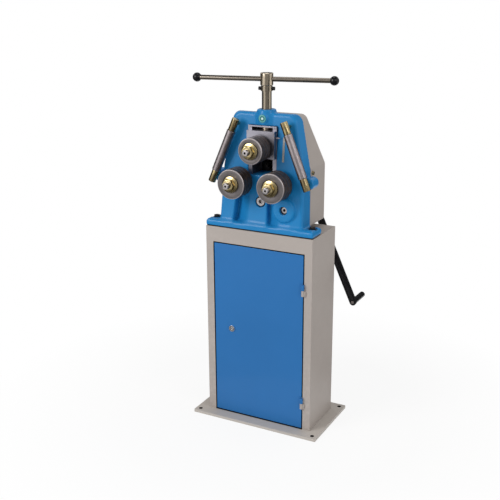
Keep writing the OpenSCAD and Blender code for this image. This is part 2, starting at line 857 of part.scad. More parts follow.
module crank_bushes() {
    bush_d = crank_shaft_d + 2 * crank_bush_wall;
    bore = crank_shaft_d + 2 * run_fit;
    color([0.72, 0.52, 0.26])
    at_xz(crank_x, crank_z) {
        y_tube(bush_d, bore, crank_boss_y + crank_tip_inset, crank_boss_y + crank_bush_len);
        y_tube(bush_d, bore, rear_boss_end_y - crank_bush_len, rear_boss_end_y);
        y_tube(bush_d, bore, cover_back_y - cover_sheet - crank_bush_inner, cover_back_y);
        y_tube(crank_flange_d, bore, cover_back_y, cover_back_y + crank_flange_t);
    }
}

module idler_axle() {
    color([0.60, 0.60, 0.62])
    at_xz(0, idler_z) difference() {
        union() {
            y_rod(idler_axle_d, wall_back_y - idler_axle_start, gear_y1 + gap);
            y_rod(idler_head_d, gear_y1 + gap, gear_y1 + gap + idler_head_t);
        }
        y_rod(idler_screw_d, wall_back_y - idler_axle_start - over, wall_back_y + idler_screw_reach);
    }
}

module idler_screw() {
    head_y = idler_front_y + idler_screw_drop;
    color([0.80, 0.80, 0.82])
    at_xz(0, idler_z) difference() {
        union() {
            y_rod(idler_screw_head_d, head_y, head_y + idler_screw_head_h);
            y_rod(idler_screw_d, head_y, wall_back_y + idler_screw_reach);
        }
        y_prism(head_y - over, head_y + idler_socket_depth) hexagon(idler_socket_af);
    }
}

// Gear cover
module cover_outline() {
    polygon(rounded(
        [[-cover_w / 2, cab_top_z + cover_base_h], [cover_w / 2, cab_top_z + cover_base_h],
         [cover_w / 2, cab_top_z + cover_shoulder_h], [cover_top_w / 2, cab_top_z + cover_top_h],
         [-cover_top_w / 2, cab_top_z + cover_top_h], [-cover_w / 2, cab_top_z + cover_shoulder_h]],
        [cover_low_corner, cover_low_corner, cover_corner, cover_corner, cover_corner, cover_corner]));
}

module gear_cover() {
    notch_r = spindle_boss_d / 2 + cover_notch_gap;
    bush_d = crank_shaft_d + 2 * crank_bush_wall;
    color([0.64, 0.62, 0.59])
    difference() {
        y_prism(wall_back_y, cover_back_y) cover_outline();
        y_prism(wall_back_y - over, cover_back_y - cover_sheet)
            offset(delta = -cover_sheet) cover_outline();
        block([-notch_r, wall_back_y - over, cab_top_z + cover_top_h - cover_sheet - over],
              [notch_r, spindle_y + notch_r, cab_top_z + cover_top_h + over]);
        at_xz(crank_x, crank_z) y_rod(bush_d, cover_back_y - cover_sheet - over, cover_back_y + over);
        both_sides() for (h = cover_lug_heights)
            translate([0, wall_back_y + cover_lug_d / 2, cab_top_z + h])
                x_rod(cover_screw_d, cover_w / 2 - cover_sheet - over, cover_w / 2 + over);
    }
}

module cover_screws() {
    color([0.78, 0.66, 0.34])
    both_sides() for (h = cover_lug_heights)
        translate([0, wall_back_y + cover_lug_d / 2, cab_top_z + h]) {
            x_rod(cover_screw_d, cover_w / 2 - cover_screw_reach, cover_w / 2);
            x_rod(cover_screw_head_d, cover_w / 2, cover_w / 2 + cover_screw_head_h);
        }
}

// Side guides
module guide_place(side) {
    translate([side * guide_x, guide_y, guide_z]) rotate([-guide_tilt, 0, 0])
        rotate([0, -side * guide_lean, 0]) children();
}

module guide_stud(side, end) {
    reach = end * guide_stud_reach;
    z = guide_z + reach * guide_axis[2];
    at_xz(side * (guide_x - reach * guide_axis[0]), z)
        y_rod(guide_stud_d, guide_y + reach * guide_axis[1], wall_face(z) + guide_stud_d);
}

module guide_axles() {
    color([0.55, 0.55, 0.57])
    for (side = [-1, 1]) guide_place(side) z_rod(guide_axle_d, -guide_len / 2 + over, guide_len / 2 - over);
}

module guide_end_blocks() {
    color([0.80, 0.70, 0.38])
    for (side = [-1, 1], end = [-1, 1]) difference() {
        union() {
            guide_place(side) mirror([0, 0, end > 0 ? 0 : 1])
                z_rod(guide_block_d, guide_len / 2 - guide_block_len, guide_len / 2);
            guide_stud(side, end);
        }
        guide_place(side) z_rod(guide_axle_d, -guide_len / 2 + over, guide_len / 2 - over);
    }
}

module guide_sleeve(side) {
    half = guide_len / 2 - guide_block_len - guide_end_gap;
    color([0.58, 0.57, 0.57])
    guide_place(side) difference() {
        z_rod(guide_sleeve_d, -half, half);
        z_rod(guide_axle_d + 2 * run_fit, -half - over, half + over);
    }
}

module guide_sleeve_right() { guide_sleeve(1); }

module guide_sleeve_left() { guide_sleeve(-1); }

// Press slide
module slide_block() {
    bush_d = upper_journal_d + 2 * upper_bush_wall;
    color([0.66, 0.66, 0.69])
    difference() {
        union() {
            block([-slide_w / 2, slide_plate_front_y, slide_base_z],
                  [slide_w / 2, slide_plate_front_y + slide_plate_t, slide_top_z]);
            block([-slide_body_w / 2, slide_plate_front_y, slide_base_z],
                  [slide_body_w / 2, slide_back_y, slide_top_z]);
        }
        at_xz(0, upper_z) y_rod(bush_d, slide_plate_front_y - over, slide_back_y + over);
        translate([0, spindle_y, 0])
            z_rod(spindle_d + 2 * pocket_clear, slide_top_z - pocket_depth, slide_top_z + over);
        for (side = [-1, 1]) translate([side * spindle_pin_x(), 0, spindle_pin_z()])
            y_rod(spindle_pin_d, slide_plate_front_y + slide_plate_t, slide_back_y + over);
        for (sx = [-1, 1], sz = [-1, 1]) at_xz(sx * back_screw_x, upper_z + sz * back_screw_z)
            y_rod(back_screw_d, slide_back_y - back_screw_reach, slide_back_y + over);
        translate([0, pointer_y - pointer_t / 2, slide_top_z - pointer_drop])
            x_rod(pointer_t, slide_w / 2 - pointer_w, slide_w / 2 + over);
    }
}

function spindle_pin_x() = spindle_d / 2 - spindle_groove_depth + spindle_pin_gap + spindle_pin_d / 2;

function spindle_pin_z() = spindle_base_z + spindle_groove_up + spindle_groove_h / 2;

module slide_back_plate() {
    bush_d = upper_journal_d + 2 * upper_bush_wall;
    color([0.50, 0.50, 0.52])
    difference() {
        block([-slide_w / 2, slide_back_y, upper_z - back_plate_h / 2],
              [slide_w / 2, slide_back_y + back_plate_t, upper_z + back_plate_h / 2]);
        at_xz(0, upper_z) y_rod(bush_d, slide_back_y - over, slide_back_y + back_plate_t + over);
        for (sx = [-1, 1], sz = [-1, 1]) at_xz(sx * back_screw_x, upper_z + sz * back_screw_z)
            y_rod(back_screw_d, slide_back_y - over, slide_back_y + back_plate_t + over);
    }
}

module slide_back_screws() {
    plate_y = slide_back_y + back_plate_t;
    color([0.12, 0.12, 0.13])
    for (sx = [-1, 1], sz = [-1, 1]) at_xz(sx * back_screw_x, upper_z + sz * back_screw_z) {
        y_rod(back_screw_d, slide_back_y - back_screw_reach, plate_y);
        y_rod(back_screw_head_d, plate_y, plate_y + back_screw_head_h);
    }
}

module upper_roll_bush() {
    color([0.72, 0.52, 0.26])
    at_xz(0, upper_z) y_tube(upper_journal_d + 2 * upper_bush_wall, upper_journal_d + 2 * run_fit,
                             slide_plate_front_y, slide_back_y + back_plate_t);
}

module spindle_pins() {
    color([0.75, 0.75, 0.77])
    for (side = [-1, 1]) translate([side * spindle_pin_x(), 0, spindle_pin_z()])
        y_rod(spindle_pin_d, slide_plate_front_y + slide_plate_t, slide_back_y);
}

module thrust_pad() {
    color([0.72, 0.52, 0.26])
    translate([0, spindle_y, 0])
        z_rod(spindle_d, slide_top_z - pocket_depth, slide_top_z - pocket_depth + thrust_pad_t);
}

module slide_pointer() {
    tip_x = slide_w / 2 + pointer_len;
    color([0.80, 0.80, 0.82])
    translate([0, pointer_y, slide_top_z - pointer_drop]) {
        y_prism(-pointer_t, 0) polygon([
            [slide_w / 2, -pointer_w / 2], [tip_x - pointer_w, -pointer_w / 2], [tip_x, 0],
            [tip_x - pointer_w, pointer_w / 2], [slide_w / 2, pointer_w / 2]]);
        translate([0, -pointer_t / 2, 0]) x_rod(pointer_t, slide_w / 2 - pointer_w, slide_w / 2);
    }
}

// Spindle, hub, collar and cross bar
module spindle() {
    groove_z = spindle_base_z + spindle_groove_up;
    color([0.74, 0.72, 0.66])
    translate([0, spindle_y, 0]) {
        z_rod(spindle_d, spindle_base_z, groove_z);
        z_rod(spindle_d - 2 * spindle_groove_depth, groove_z, groove_z + spindle_groove_h);
        z_rod(spindle_d, groove_z + spindle_groove_h, spindle_top_z);
        z_rod(spindle_tenon_d, spindle_top_z, spindle_top_z + spindle_tenon_h);
    }
}

module handle_hub() {
    color([0.74, 0.72, 0.64])
    translate([0, spindle_y, 0]) difference() {
        rotate_extrude() polygon([
            [0, spindle_top_z], [hub_d / 2 - hub_chamfer, spindle_top_z],
            [hub_d / 2, spindle_top_z + hub_chamfer], [hub_d / 2, hub_top_z - hub_chamfer],
            [hub_d / 2 - hub_chamfer, hub_top_z], [0, hub_top_z]]);
        z_rod(spindle_tenon_d, spindle_top_z - over, spindle_top_z + spindle_tenon_h);
        translate([0, 0, bar_z]) rotate([0, 0, bar_turn]) x_rod(bar_d + 2 * run_fit, -hub_d, hub_d);
    }
}

module stop_collar() {
    color([0.62, 0.60, 0.56])
    translate([0, spindle_y, 0]) difference() {
        z_rod(collar_d, collar_top_z - collar_h, collar_top_z);
        z_rod(spindle_d, collar_top_z - collar_h - over, collar_top_z + over);
        for (side = [-1, 1]) translate([0, 0, collar_top_z - collar_h / 2]) rotate([0, 0, bar_turn])
            x_rod(collar_screw_d, min(0, side * collar_d), max(0, side * collar_d));
    }
}

module stop_collar_screws() {
    color([0.08, 0.08, 0.09])
    translate([0, spindle_y, collar_top_z - collar_h / 2]) rotate([0, 0, bar_turn])
        for (side = [-1, 1]) mirror([side < 0 ? 1 : 0, 0, 0]) {
            x_rod(collar_screw_d, spindle_d / 2, collar_d / 2 + gap);
            x_rod(collar_head_d, collar_d / 2 + gap, collar_d / 2 + gap + collar_head_len);
        }
}

module bar_place() {
    translate([0, spindle_y, bar_z]) rotate([0, 0, bar_turn]) translate([-bar_shift, 0, 0]) children();
}

module cross_bar() {
    half = bar_len / 2 - knob_d / 2 + knob_seat_depth;
    color([0.72, 0.70, 0.62])
    bar_place() x_rod(bar_d, -half, half);
}

module ball_knobs() {
    color([0.05, 0.05, 0.05])
    bar_place() for (side = [-1, 1]) mirror([side < 0 ? 1 : 0, 0, 0]) difference() {
        translate([bar_len / 2, 0, 0]) sphere(d = knob_d);
        x_rod(bar_d, 0, bar_len / 2 - knob_d / 2 + knob_seat_depth);
    }
}

// Rolls and their shafts
module roll_rings(d) {
    groove_d = d - 2 * ring_groove_depth;
    starts = [0, front_ring_w + ring_groove_w, front_ring_w + rear_ring_w + 2 * ring_groove_w];
    widths = [front_ring_w, rear_ring_w, rear_ring_w];
    color([0.36, 0.35, 0.36]) {
        for (i = [0 : 2]) let (y0 = roll_front_y + starts[i], y1 = y0 + widths[i])
            y_turned([[roll_bore / 2, y0], [d / 2 - ring_chamfer, y0], [d / 2, y0 + ring_chamfer],
                      [d / 2, y1 - ring_chamfer], [d / 2 - ring_chamfer, y1], [roll_bore / 2, y1]]);
        for (i = [1, 2]) let (y1 = roll_front_y + starts[i])
            y_tube(groove_d, roll_bore, y1 - ring_groove_w, y1);
    }
}

module roll_washer() {
    color([0.78, 0.68, 0.36])
    y_tube(roll_washer_d, shaft_stub_d, roll_front_y - roll_washer_t, roll_front_y);
}

module roll_nut() {
    y1 = roll_front_y - roll_washer_t;
    color([0.80, 0.70, 0.38])
    difference() {
        intersection() {
            y_prism(y1 - roll_nut_h, y1) hexagon(roll_nut_af);
            y_turned([[0, y1 - roll_nut_h], [roll_nut_af / 2, y1 - roll_nut_h],
                      [roll_nut_af, y1 - roll_nut_h / 2], [roll_nut_af, y1], [0, y1]]);
        }
        y_rod(shaft_stub_d, y1 - roll_nut_h - over, y1 + over);
    }
}

// Front part of every roll shaft, up to the end of its collar
module shaft_front(collar_y1) {
    y_turned([[shaft_centre_d / 2, shaft_tip_y], [shaft_stub_d / 2 - shaft_tip_chamfer, shaft_tip_y],
              [shaft_stub_d / 2, shaft_tip_y + shaft_tip_chamfer], [shaft_stub_d / 2, roll_front_y],
              [roll_bore / 2, roll_front_y], [roll_bore / 2, roll_back_y],
              [shaft_collar_d / 2, roll_back_y], [shaft_collar_d / 2, collar_y1],
              [0, collar_y1], [0, shaft_tip_y + shaft_centre_depth],
              [shaft_centre_d / 2, shaft_tip_y + shaft_centre_depth]]);
}

module lower_shaft() {
    collar_y1 = bearing_front_y - gap;
    color([0.70, 0.70, 0.72]) {
        shaft_front(collar_y1);
        y_rod(lower_journal_d, collar_y1, gear_y0);
        y_rod(lower_gear_bore, gear_y0, gear_y1 + shaft_tail_len);
    }
}

module upper_roll_shaft() {
    collar_y1 = slide_plate_front_y - gap;
    retainer_y = slide_back_y + back_plate_t + gap;
    color([0.70, 0.70, 0.72])
    at_xz(0, upper_z) {
        shaft_front(collar_y1);
        y_rod(upper_journal_d, collar_y1, retainer_y);
        y_rod(retainer_bore, retainer_y, retainer_y + retainer_t + shaft_tail_len);
    }
}

module upper_roll_rings() { at_xz(0, upper_z) roll_rings(upper_roll_d); }

module upper_roll_washer() { at_xz(0, upper_z) roll_washer(); }

module upper_roll_nut() { at_xz(0, upper_z) roll_nut(); }

module upper_roll_retainer() {
    retainer_y = slide_back_y + back_plate_t + gap;
    color([0.40, 0.40, 0.42])
    at_xz(0, upper_z) y_tube(retainer_d, retainer_bore, retainer_y, retainer_y + retainer_t);
}

module lower_place(side) { at_xz(side * roll_x, lower_z) children(); }

module right_roll_shaft() { lower_place(1) lower_shaft(); }

module right_roll_rings() { lower_place(1) roll_rings(lower_roll_d); }

module right_roll_washer() { lower_place(1) roll_washer(); }

module right_roll_nut() { lower_place(1) roll_nut(); }

module right_roll_gear() { lower_place(1) gear(roll_teeth, lower_gear_bore, right_phase); }

module left_roll_shaft() { lower_place(-1) lower_shaft(); }

module left_roll_rings() { lower_place(-1) roll_rings(lower_roll_d); }

module left_roll_washer() { lower_place(-1) roll_washer(); }

module left_roll_nut() { lower_place(-1) roll_nut(); }

module left_roll_gear() { lower_place(-1) gear(roll_teeth, lower_gear_bore, left_phase); }

// Gears
module gear(teeth, bore, phase) {
    root_r = gear_module * (teeth / 2 - dedendum_share);
    web_out = root_r - gear_rim;
    web_in = bore / 2 + gear_hub_wall;
    web_cut = (gear_w - gear_web_t) / 2;
    color([0.45, 0.45, 0.47])
    difference() {
        y_prism(gear_y0, gear_y1) rotate([0, 0, phase]) polygon(gear_points(teeth));
        y_rod(bore, gear_y0 - over, gear_y1 + over);
        if (web_out > web_in) for (y = [gear_y0 - over, gear_y1 - web_cut])
            y_tube(2 * web_out, 2 * web_in, y, y + web_cut + over);
    }
}

module idler_gear() { at_xz(0, idler_z) gear(idler_teeth, idler_axle_d + 2 * run_fit, idler_phase); }

// Crank
module crank_shaft() {
    color([0.66, 0.66, 0.68])
    at_xz(crank_x, crank_z) {
        difference() {
            y_rod(crank_shaft_d, crank_boss_y + crank_tip_inset, crank_hub_y1);
            y_rod(crank_centre_d, crank_boss_y, crank_boss_y + crank_tip_inset + shaft_centre_depth);
        }
        y_prism(gear_y0, gear_y1) rotate([0, 0, pinion_phase]) polygon(gear_points(pinion_teeth));
    }
}

module crank_arm() {
    arm_y0 = crank_hub_y1 - crank_t;
    color([0.07, 0.07, 0.08])
    at_xz(crank_x, crank_z) difference() {
        union() {
            y_rod(crank_hub_d, crank_hub_y0, crank_hub_y1);
            rotate([0, -crank_angle, 0]) {
                block([-crank_w / 2, arm_y0, -crank_len], [crank_w / 2, crank_hub_y1, 0]);
                at_xz(0, -crank_len) y_rod(crank_w, arm_y0, crank_hub_y1);
            }
        }
        y_rod(crank_shaft_d, crank_hub_y0 - over, crank_hub_y1 + over);
        rotate([0, -crank_angle, 0]) at_xz(0, -crank_len)
            y_rod(grip_pin_d, arm_y0 - over, crank_hub_y1 + over);
    }
}

module crank_pin() {
    arm_y0 = crank_hub_y1 - crank_t;
    grip_end_y = crank_hub_y1 + grip_gap + grip_len;
    color([0.72, 0.72, 0.74])
    at_xz(grip_end_x, grip_end_z) {
        y_rod(grip_pin_d, arm_y0 - grip_pin_head_t, grip_end_y + grip_gap);
        y_rod(grip_pin_head_d, grip_end_y + grip_gap, grip_end_y + grip_gap + grip_pin_head_t);
    }
}

module crank_grip() {
    y0 = crank_hub_y1 + grip_gap;
    color([0.06, 0.06, 0.06])
    at_xz(grip_end_x, grip_end_z) y_tube(grip_d, grip_pin_d + 2 * run_fit, y0, y0 + grip_len);
}

base_plate();
cabinet_shell();
head_plate();
main_casting();
casting_bolts();
casting_washers();
slide_rails();
window_strip();
spindle_nut();
gear_cover();
cover_screws();
lower_roll_bushes();
crank_bushes();
idler_axle();
idler_screw();
scale_strip();
guide_axles();
guide_end_blocks();
hinge_frame_leaves();
hinge_pins();
door_panel();
hinge_door_leaves();
lock_body();
lock_cylinder();
lock_cam();
slide_block();
slide_back_plate();
slide_back_screws();
upper_roll_bush();
spindle_pins();
thrust_pad();
slide_pointer();
spindle();
handle_hub();
stop_collar();
stop_collar_screws();
cross_bar();
ball_knobs();
upper_roll_shaft();
upper_roll_rings();
upper_roll_washer();
upper_roll_nut();
upper_roll_retainer();
right_roll_shaft();
right_roll_rings();
right_roll_washer();
right_roll_nut();
right_roll_gear();
left_roll_shaft();
left_roll_rings();
left_roll_washer();
left_roll_nut();
left_roll_gear();
idler_gear();
crank_shaft();
crank_arm();
crank_pin();
crank_grip();
guide_sleeve_right();
guide_sleeve_left();
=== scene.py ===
"""Looks of a hand-cranked three-roll bender on a floor cabinet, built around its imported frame."""

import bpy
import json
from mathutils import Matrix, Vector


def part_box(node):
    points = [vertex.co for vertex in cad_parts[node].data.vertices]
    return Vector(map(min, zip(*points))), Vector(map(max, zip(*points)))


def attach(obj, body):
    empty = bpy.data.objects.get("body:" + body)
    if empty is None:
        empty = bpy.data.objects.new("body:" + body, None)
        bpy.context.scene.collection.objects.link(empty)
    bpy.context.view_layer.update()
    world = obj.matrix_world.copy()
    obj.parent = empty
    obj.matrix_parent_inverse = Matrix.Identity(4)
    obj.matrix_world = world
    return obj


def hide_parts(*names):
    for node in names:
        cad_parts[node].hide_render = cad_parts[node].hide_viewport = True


bl_info = {
    "name": "Roll Bender Looks",
    "version": (1, 0, 0),
    "blender": (4, 5, 0),
    "location": "View3D > Sidebar > Bender",
    "description": "Dresses the packed roll bender: castings, sheet metal, rolls, screws and finishes",
    "category": "Object",
}

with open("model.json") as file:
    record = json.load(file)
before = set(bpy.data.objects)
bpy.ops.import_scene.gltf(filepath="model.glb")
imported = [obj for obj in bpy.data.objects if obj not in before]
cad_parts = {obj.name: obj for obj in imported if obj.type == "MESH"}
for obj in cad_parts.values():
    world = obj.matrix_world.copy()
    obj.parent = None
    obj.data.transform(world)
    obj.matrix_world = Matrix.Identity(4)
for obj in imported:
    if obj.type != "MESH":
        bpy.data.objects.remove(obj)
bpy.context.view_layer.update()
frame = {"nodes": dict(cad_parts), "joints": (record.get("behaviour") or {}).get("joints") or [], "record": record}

import json
import math
from collections import namedtuple

import bmesh
import bpy
import numpy as np
from bpy.props import (
    FloatProperty,
    FloatVectorProperty,
    IntProperty,
    PointerProperty,
)
from mathutils import Matrix, Vector

MM = 0.001
TINY = 1e-7
Y_AXIS = Vector((0, 1, 0))
Z_AXIS = Vector((0, 0, 1))
NODE_SLOT = {row["node"]: row["material_slot"] for row in frame["record"]["subparts"]}
NODE_BODY = {n: b for b, ns in frame["record"]["behaviour"]["bodies"].items() for n in ns}
JOINT = {row["name"]: row for row in frame["joints"]}

# Depths of the fine marks in the finishes
WAVE_DEPTH = 0.6 * MM
PEEL_DEPTH = 0.1 * MM
TURNED_DEPTH = 0.05 * MM
GRAIN_DEPTH = 0.08 * MM
STREAK_DEPTH = 0.3 * MM
STRIP_DEPTH = 0.06 * MM

# Bands of painted shade and painted highlight in the finishes: where they fade, and how far they lap over edges
MASK_EDGE = 0.3 * MM
GAP_LAP = 0.7 * MM
GAP_FRONT = 2 * MM
GAP_DEEP = 4
FOLD_LAP = 0.5 * MM
RIM_DEEP = 1.8 * MM
RIM_WIDTH = 2.2 * MM
RIM_FADE = 1 * MM
END_FADE = 0.4 * MM
HOLE_LAP = 0.1 * MM

# Welding and shading of the meshes; the angles are in degrees
WELD = 0.002 * MM
FLAT_ANGLE = 0.5
SHARP_ANGLE = 32
SOFT_SHADE = 38
LATHE_SHADE = 40
STRAIGHT_HALF = 88
CORNER_ROOM = 0.45
NEAR = 1 * MM
LABEL_OUT = 1 * MM
STREAK_RUN = 8


def length_prop(name, description, default):
    """A size in metres."""
    return FloatProperty(name=name, description=description, default=default, unit="LENGTH", precision=5)


def place_prop(name, description, default):
    """A place in metres."""
    return FloatVectorProperty(
        name=name, description=description, default=default, size=3, subtype="TRANSLATION", unit="LENGTH")


def angle_prop(name, description, degrees):
    """An angle whose default is given in degrees."""
    return FloatProperty(
        name=name, description=description, default=math.radians(degrees), subtype="ANGLE", unit="ROTATION")


def power_prop(name, description, default):
    """A light's power in watts."""
    return FloatProperty(name=name, description=description, default=default, unit="POWER")


def colour_prop(name, description, default):
    """A linear colour."""
    return FloatVectorProperty(
        name=name, description=description, default=default, size=3, min=0, max=1, subtype="COLOR")


class BenderSizes(bpy.types.PropertyGroup):
    """Sizes of the softened edges and the small details."""

    sheet_edge: length_prop("Sheet edge", "Bevel on the edges of sheet metal", 0.8 * MM)
    fold_edge: length_prop("Fold edge", "Bevel on the folds of the cabinet and the cover", 2.2 * MM)
    machined_edge: length_prop("Machined edge", "Bevel on ground and turned edges", 0.5 * MM)
    plate_edge: length_prop("Plate edge", "Bevel on the base plate and the crank arm", 1.2 * MM)
    # door_gap, hole_inset and hole_r set where the finishes paint black as shade: round the door and on the floor
    # holes' walls
    door_gap: length_prop("Door gap", "Gap round the door", 3.5 * MM)
    hole_inset: length_prop("Hole inset", "Distance of the floor holes from the plate's edges", 18 * MM)
    hole_r: length_prop("Hole radius", "Radius of the floor holes", 6.8 * MM)
    casting_grid: length_prop("Casting grid", "Step of the grid that the casting is formed on", 2.2 * MM)
    casting_fillet: length_prop("Casting fillet", "Fillet where the casting's forms meet", 11 * MM)
    wall_depth: length_prop("Wall depth", "Depth of the casting's wall at its foot", 62 * MM)
    wall_lean: angle_prop("Wall lean", "Lean of the wall's front face from upright", 5.6)
    wall_round: length_prop("Wall round", "Rounding of the wall's front edge", 9 * MM)
    wall_corner: length_prop("Wall corner", "Corner radius of the wall's outline", 31 * MM)
    wall_top_half: length_prop("Wall top", "Half width of the wall's top before rounding", 124 * MM)
    wall_draft: length_prop("Wall draft", "How much narrower the wall's top is at its front", 14 * MM)
    shoulder_h: length_prop("Shoulder height", "Height of the wall's shoulders above the cabinet", 214 * MM)
    left_inset: length_prop("Left inset", "How much further in the wall's left side stands", 5 * MM)
    flare_h: length_prop("Flare height", "Height of the flare at the wall's foot", 46 * MM)
    flare_side: length_prop("Flare side", "Distance from the wall's sides where the flare grows", 45 * MM)
    flare_in: length_prop("Flare inset", "Distance of the flare's foot from the flange's front", 0.5 * MM)
    flange_round: length_prop("Flange round", "Rounding of the foot flange's upper edges", 12 * MM)
    flange_corner: length_prop("Flange corner", "Corner radius of the foot flange seen from above", 4 * MM)
    # foot_gap also sets the height of the black band painted as shade at the casting's foot
    foot_gap: length_prop("Foot gap", "Height of the dark joint under the foot flange", 4.5 * MM)
    foot_in: length_prop("Foot inset", "Depth of the dark joint under the foot flange", 2 * MM)
    spot_depth: length_prop("Spot face depth", "Depth of the bolts' spot faces in the flange", 6 * MM)
    spot_r: length_prop("Spot face", "Radius of the bolts' spot faces", 16 * MM)
    boss_rise: length_prop("Boss rise", "Height of the spindle boss above the wall", 11 * MM)
    boss_r: length_prop("Spindle boss", "Radius of the spindle boss", 31 * MM)
    crank_boss_r: length_prop("Crank boss", "Radius of the boss round the crank shaft", 40 * MM)
    bearing_boss_r: length_prop("Bearing boss", "Radius of the bosses behind the lower rolls", 32 * MM)
    lug_r: length_prop("Lug", "Radius of the lugs that carry the side guides", 19 * MM)
    guide_length: length_prop("Guide length", "Length of a guide over its end blocks", 232 * MM)
    guide_end: length_prop("Guide end", "Length of the guides' end blocks", 42 * MM)
    guide_end_r: length_prop("Guide end radius", "Radius of the guides' end blocks", 12.5 * MM)
    guide_stud_in: length_prop("Guide stud inset", "Distance of the studs from the guides' ends", 19 * MM)
    guide_stud_r: length_prop("Guide stud radius", "Radius of the guides' studs", 6.5 * MM)
    ring_chamfer: length_prop("Ring chamfer", "Chamfer at the ends of the rolls", 2 * MM)
    ring_groove: length_prop("Ring groove", "Width and depth of the grooves in the rolls", 1.5 * MM)
    seat_groove: length_prop("Seat groove", "Width of the groove round a roll's washer", 3.6 * MM)
    front_groove: length_prop("Front groove", "First groove's distance from a roll's front", 23.25 * MM)
    rear_groove: length_prop("Rear groove", "Second groove's distance from a roll's front", 43.75 * MM)
    # These radii set where the shaft ends are painted black as shade: in the centre holes, and beyond the crank
    # shaft's bright end
    shaft_hole_r: length_prop("Shaft hole", "Radius of the centre holes in the roll shafts", 3.4 * MM)
    crank_hole_r: length_prop("Crank hole", "Radius of the centre hole in the crank shaft", 4.6 * MM)
    crank_rim_r: length_prop("Crank rim", "Radius of the bright end of the crank shaft", 9.8 * MM)
    label_d: length_prop("Label diameter", "Diameter of the round label", 27 * MM)
    label_t: length_prop("Label thickness", "Thickness of the round label", 0.8 * MM)
    label_drop: length_prop("Label drop", "Distance of the label below the boss's top", 28 * MM)
    tick_step: length_prop("Tick step", "Distance between the marks of the scale", 5 * MM)
    tick_w: length_prop("Tick width", "Width of the marks of the scale", 0.6 * MM)
    tick_proud: length_prop("Tick height", "Height of the marks above the scale", 0.15 * MM)
    turn_steps: IntProperty(name="Turn steps", description="Faces around a turned piece", default=96)


class BenderFinishes(bpy.types.PropertyGroup):
    """Colours of the finishes, and of the painted shade and highlights in them."""

    casting_blue: colour_prop("Casting blue", "Enamel on the casting", (0.012, 0.205, 0.490))
    door_blue: colour_prop("Door blue", "Enamel on the door", (0.024, 0.160, 0.430))
    beige: colour_prop("Beige", "Enamel on the cabinet and the cover", (0.425, 0.380, 0.350))
    # The base plate's beige is the cabinet's made about a quarter lighter, as painted light on the plate's top
    plate_beige_lit: colour_prop("Plate beige", "Paint of the base plate", (0.52, 0.48, 0.44))
    bare_steel: colour_prop("Bare steel", "Ground steel of the slide", (0.33, 0.32, 0.365))
    bright_steel: colour_prop("Bright steel", "Turned steel of shafts and pins", (0.46, 0.43, 0.43))
    roll_steel: colour_prop("Roll steel", "Turned faces of the rolls", (0.155, 0.140, 0.140))
    # The rolls' sides are painted darker than their faces, as shade
    roll_side_shade: colour_prop("Roll side", "Dark rims of the rolls", (0.110, 0.080, 0.066))
    sleeve_steel: colour_prop("Sleeve steel", "Steel of the guide sleeves", (0.34, 0.30, 0.305))
    dark_steel: colour_prop("Dark steel", "Dull steel inside", (0.12, 0.12, 0.125))
    gear_steel: colour_prop("Gear steel", "Oiled steel of the gears", (0.16, 0.155, 0.15))
    warm_zinc: colour_prop("Warm zinc", "Zinc plate on spindle and hub", (0.38, 0.325, 0.250))
    bar_zinc: colour_prop("Bar zinc", "Drawn zinc-plated cross bar", (0.27, 0.235, 0.195))
    yellow_zinc: colour_prop("Yellow zinc", "Yellow passivated zinc", (0.56, 0.455, 0.235))
    zinc_rose: colour_prop("Zinc rose", "Rosy clouds in the yellow zinc", (0.52, 0.34, 0.21))
    # The dark streaks are partly drawing marks and partly a painted reflection; the pale edges are partly wear and
    # partly a painted highlight
    zinc_streaks_and_reflection: colour_prop("Zinc streaks", "Dark streaks in the yellow zinc", (0.150, 0.108, 0.062))
    zinc_wear_and_highlight: colour_prop("Zinc worn", "Worn edges of the yellow zinc", (0.72, 0.67, 0.50))
    bronze: colour_prop("Bronze", "Plain bronze of the bushes", (0.45, 0.27, 0.10))
    chrome: colour_prop("Chrome", "Polished plating of the lock", (0.90, 0.90, 0.92))
    black: colour_prop("Black", "Black plastic, paint and oxide", (0.006, 0.006, 0.007))
    strip_grey: colour_prop("Scale grey", "Face of the scale", (0.36, 0.35, 0.33))
    label_teal: colour_prop("Label teal", "Face of the round label", (0.004, 0.145, 0.135))
    label_ring: colour_prop("Label ring", "Ring of the round label", (0.10, 0.42, 0.45))
    label_dot: colour_prop("Label dot", "Middle of the round label", (0.62, 0.85, 0.82))


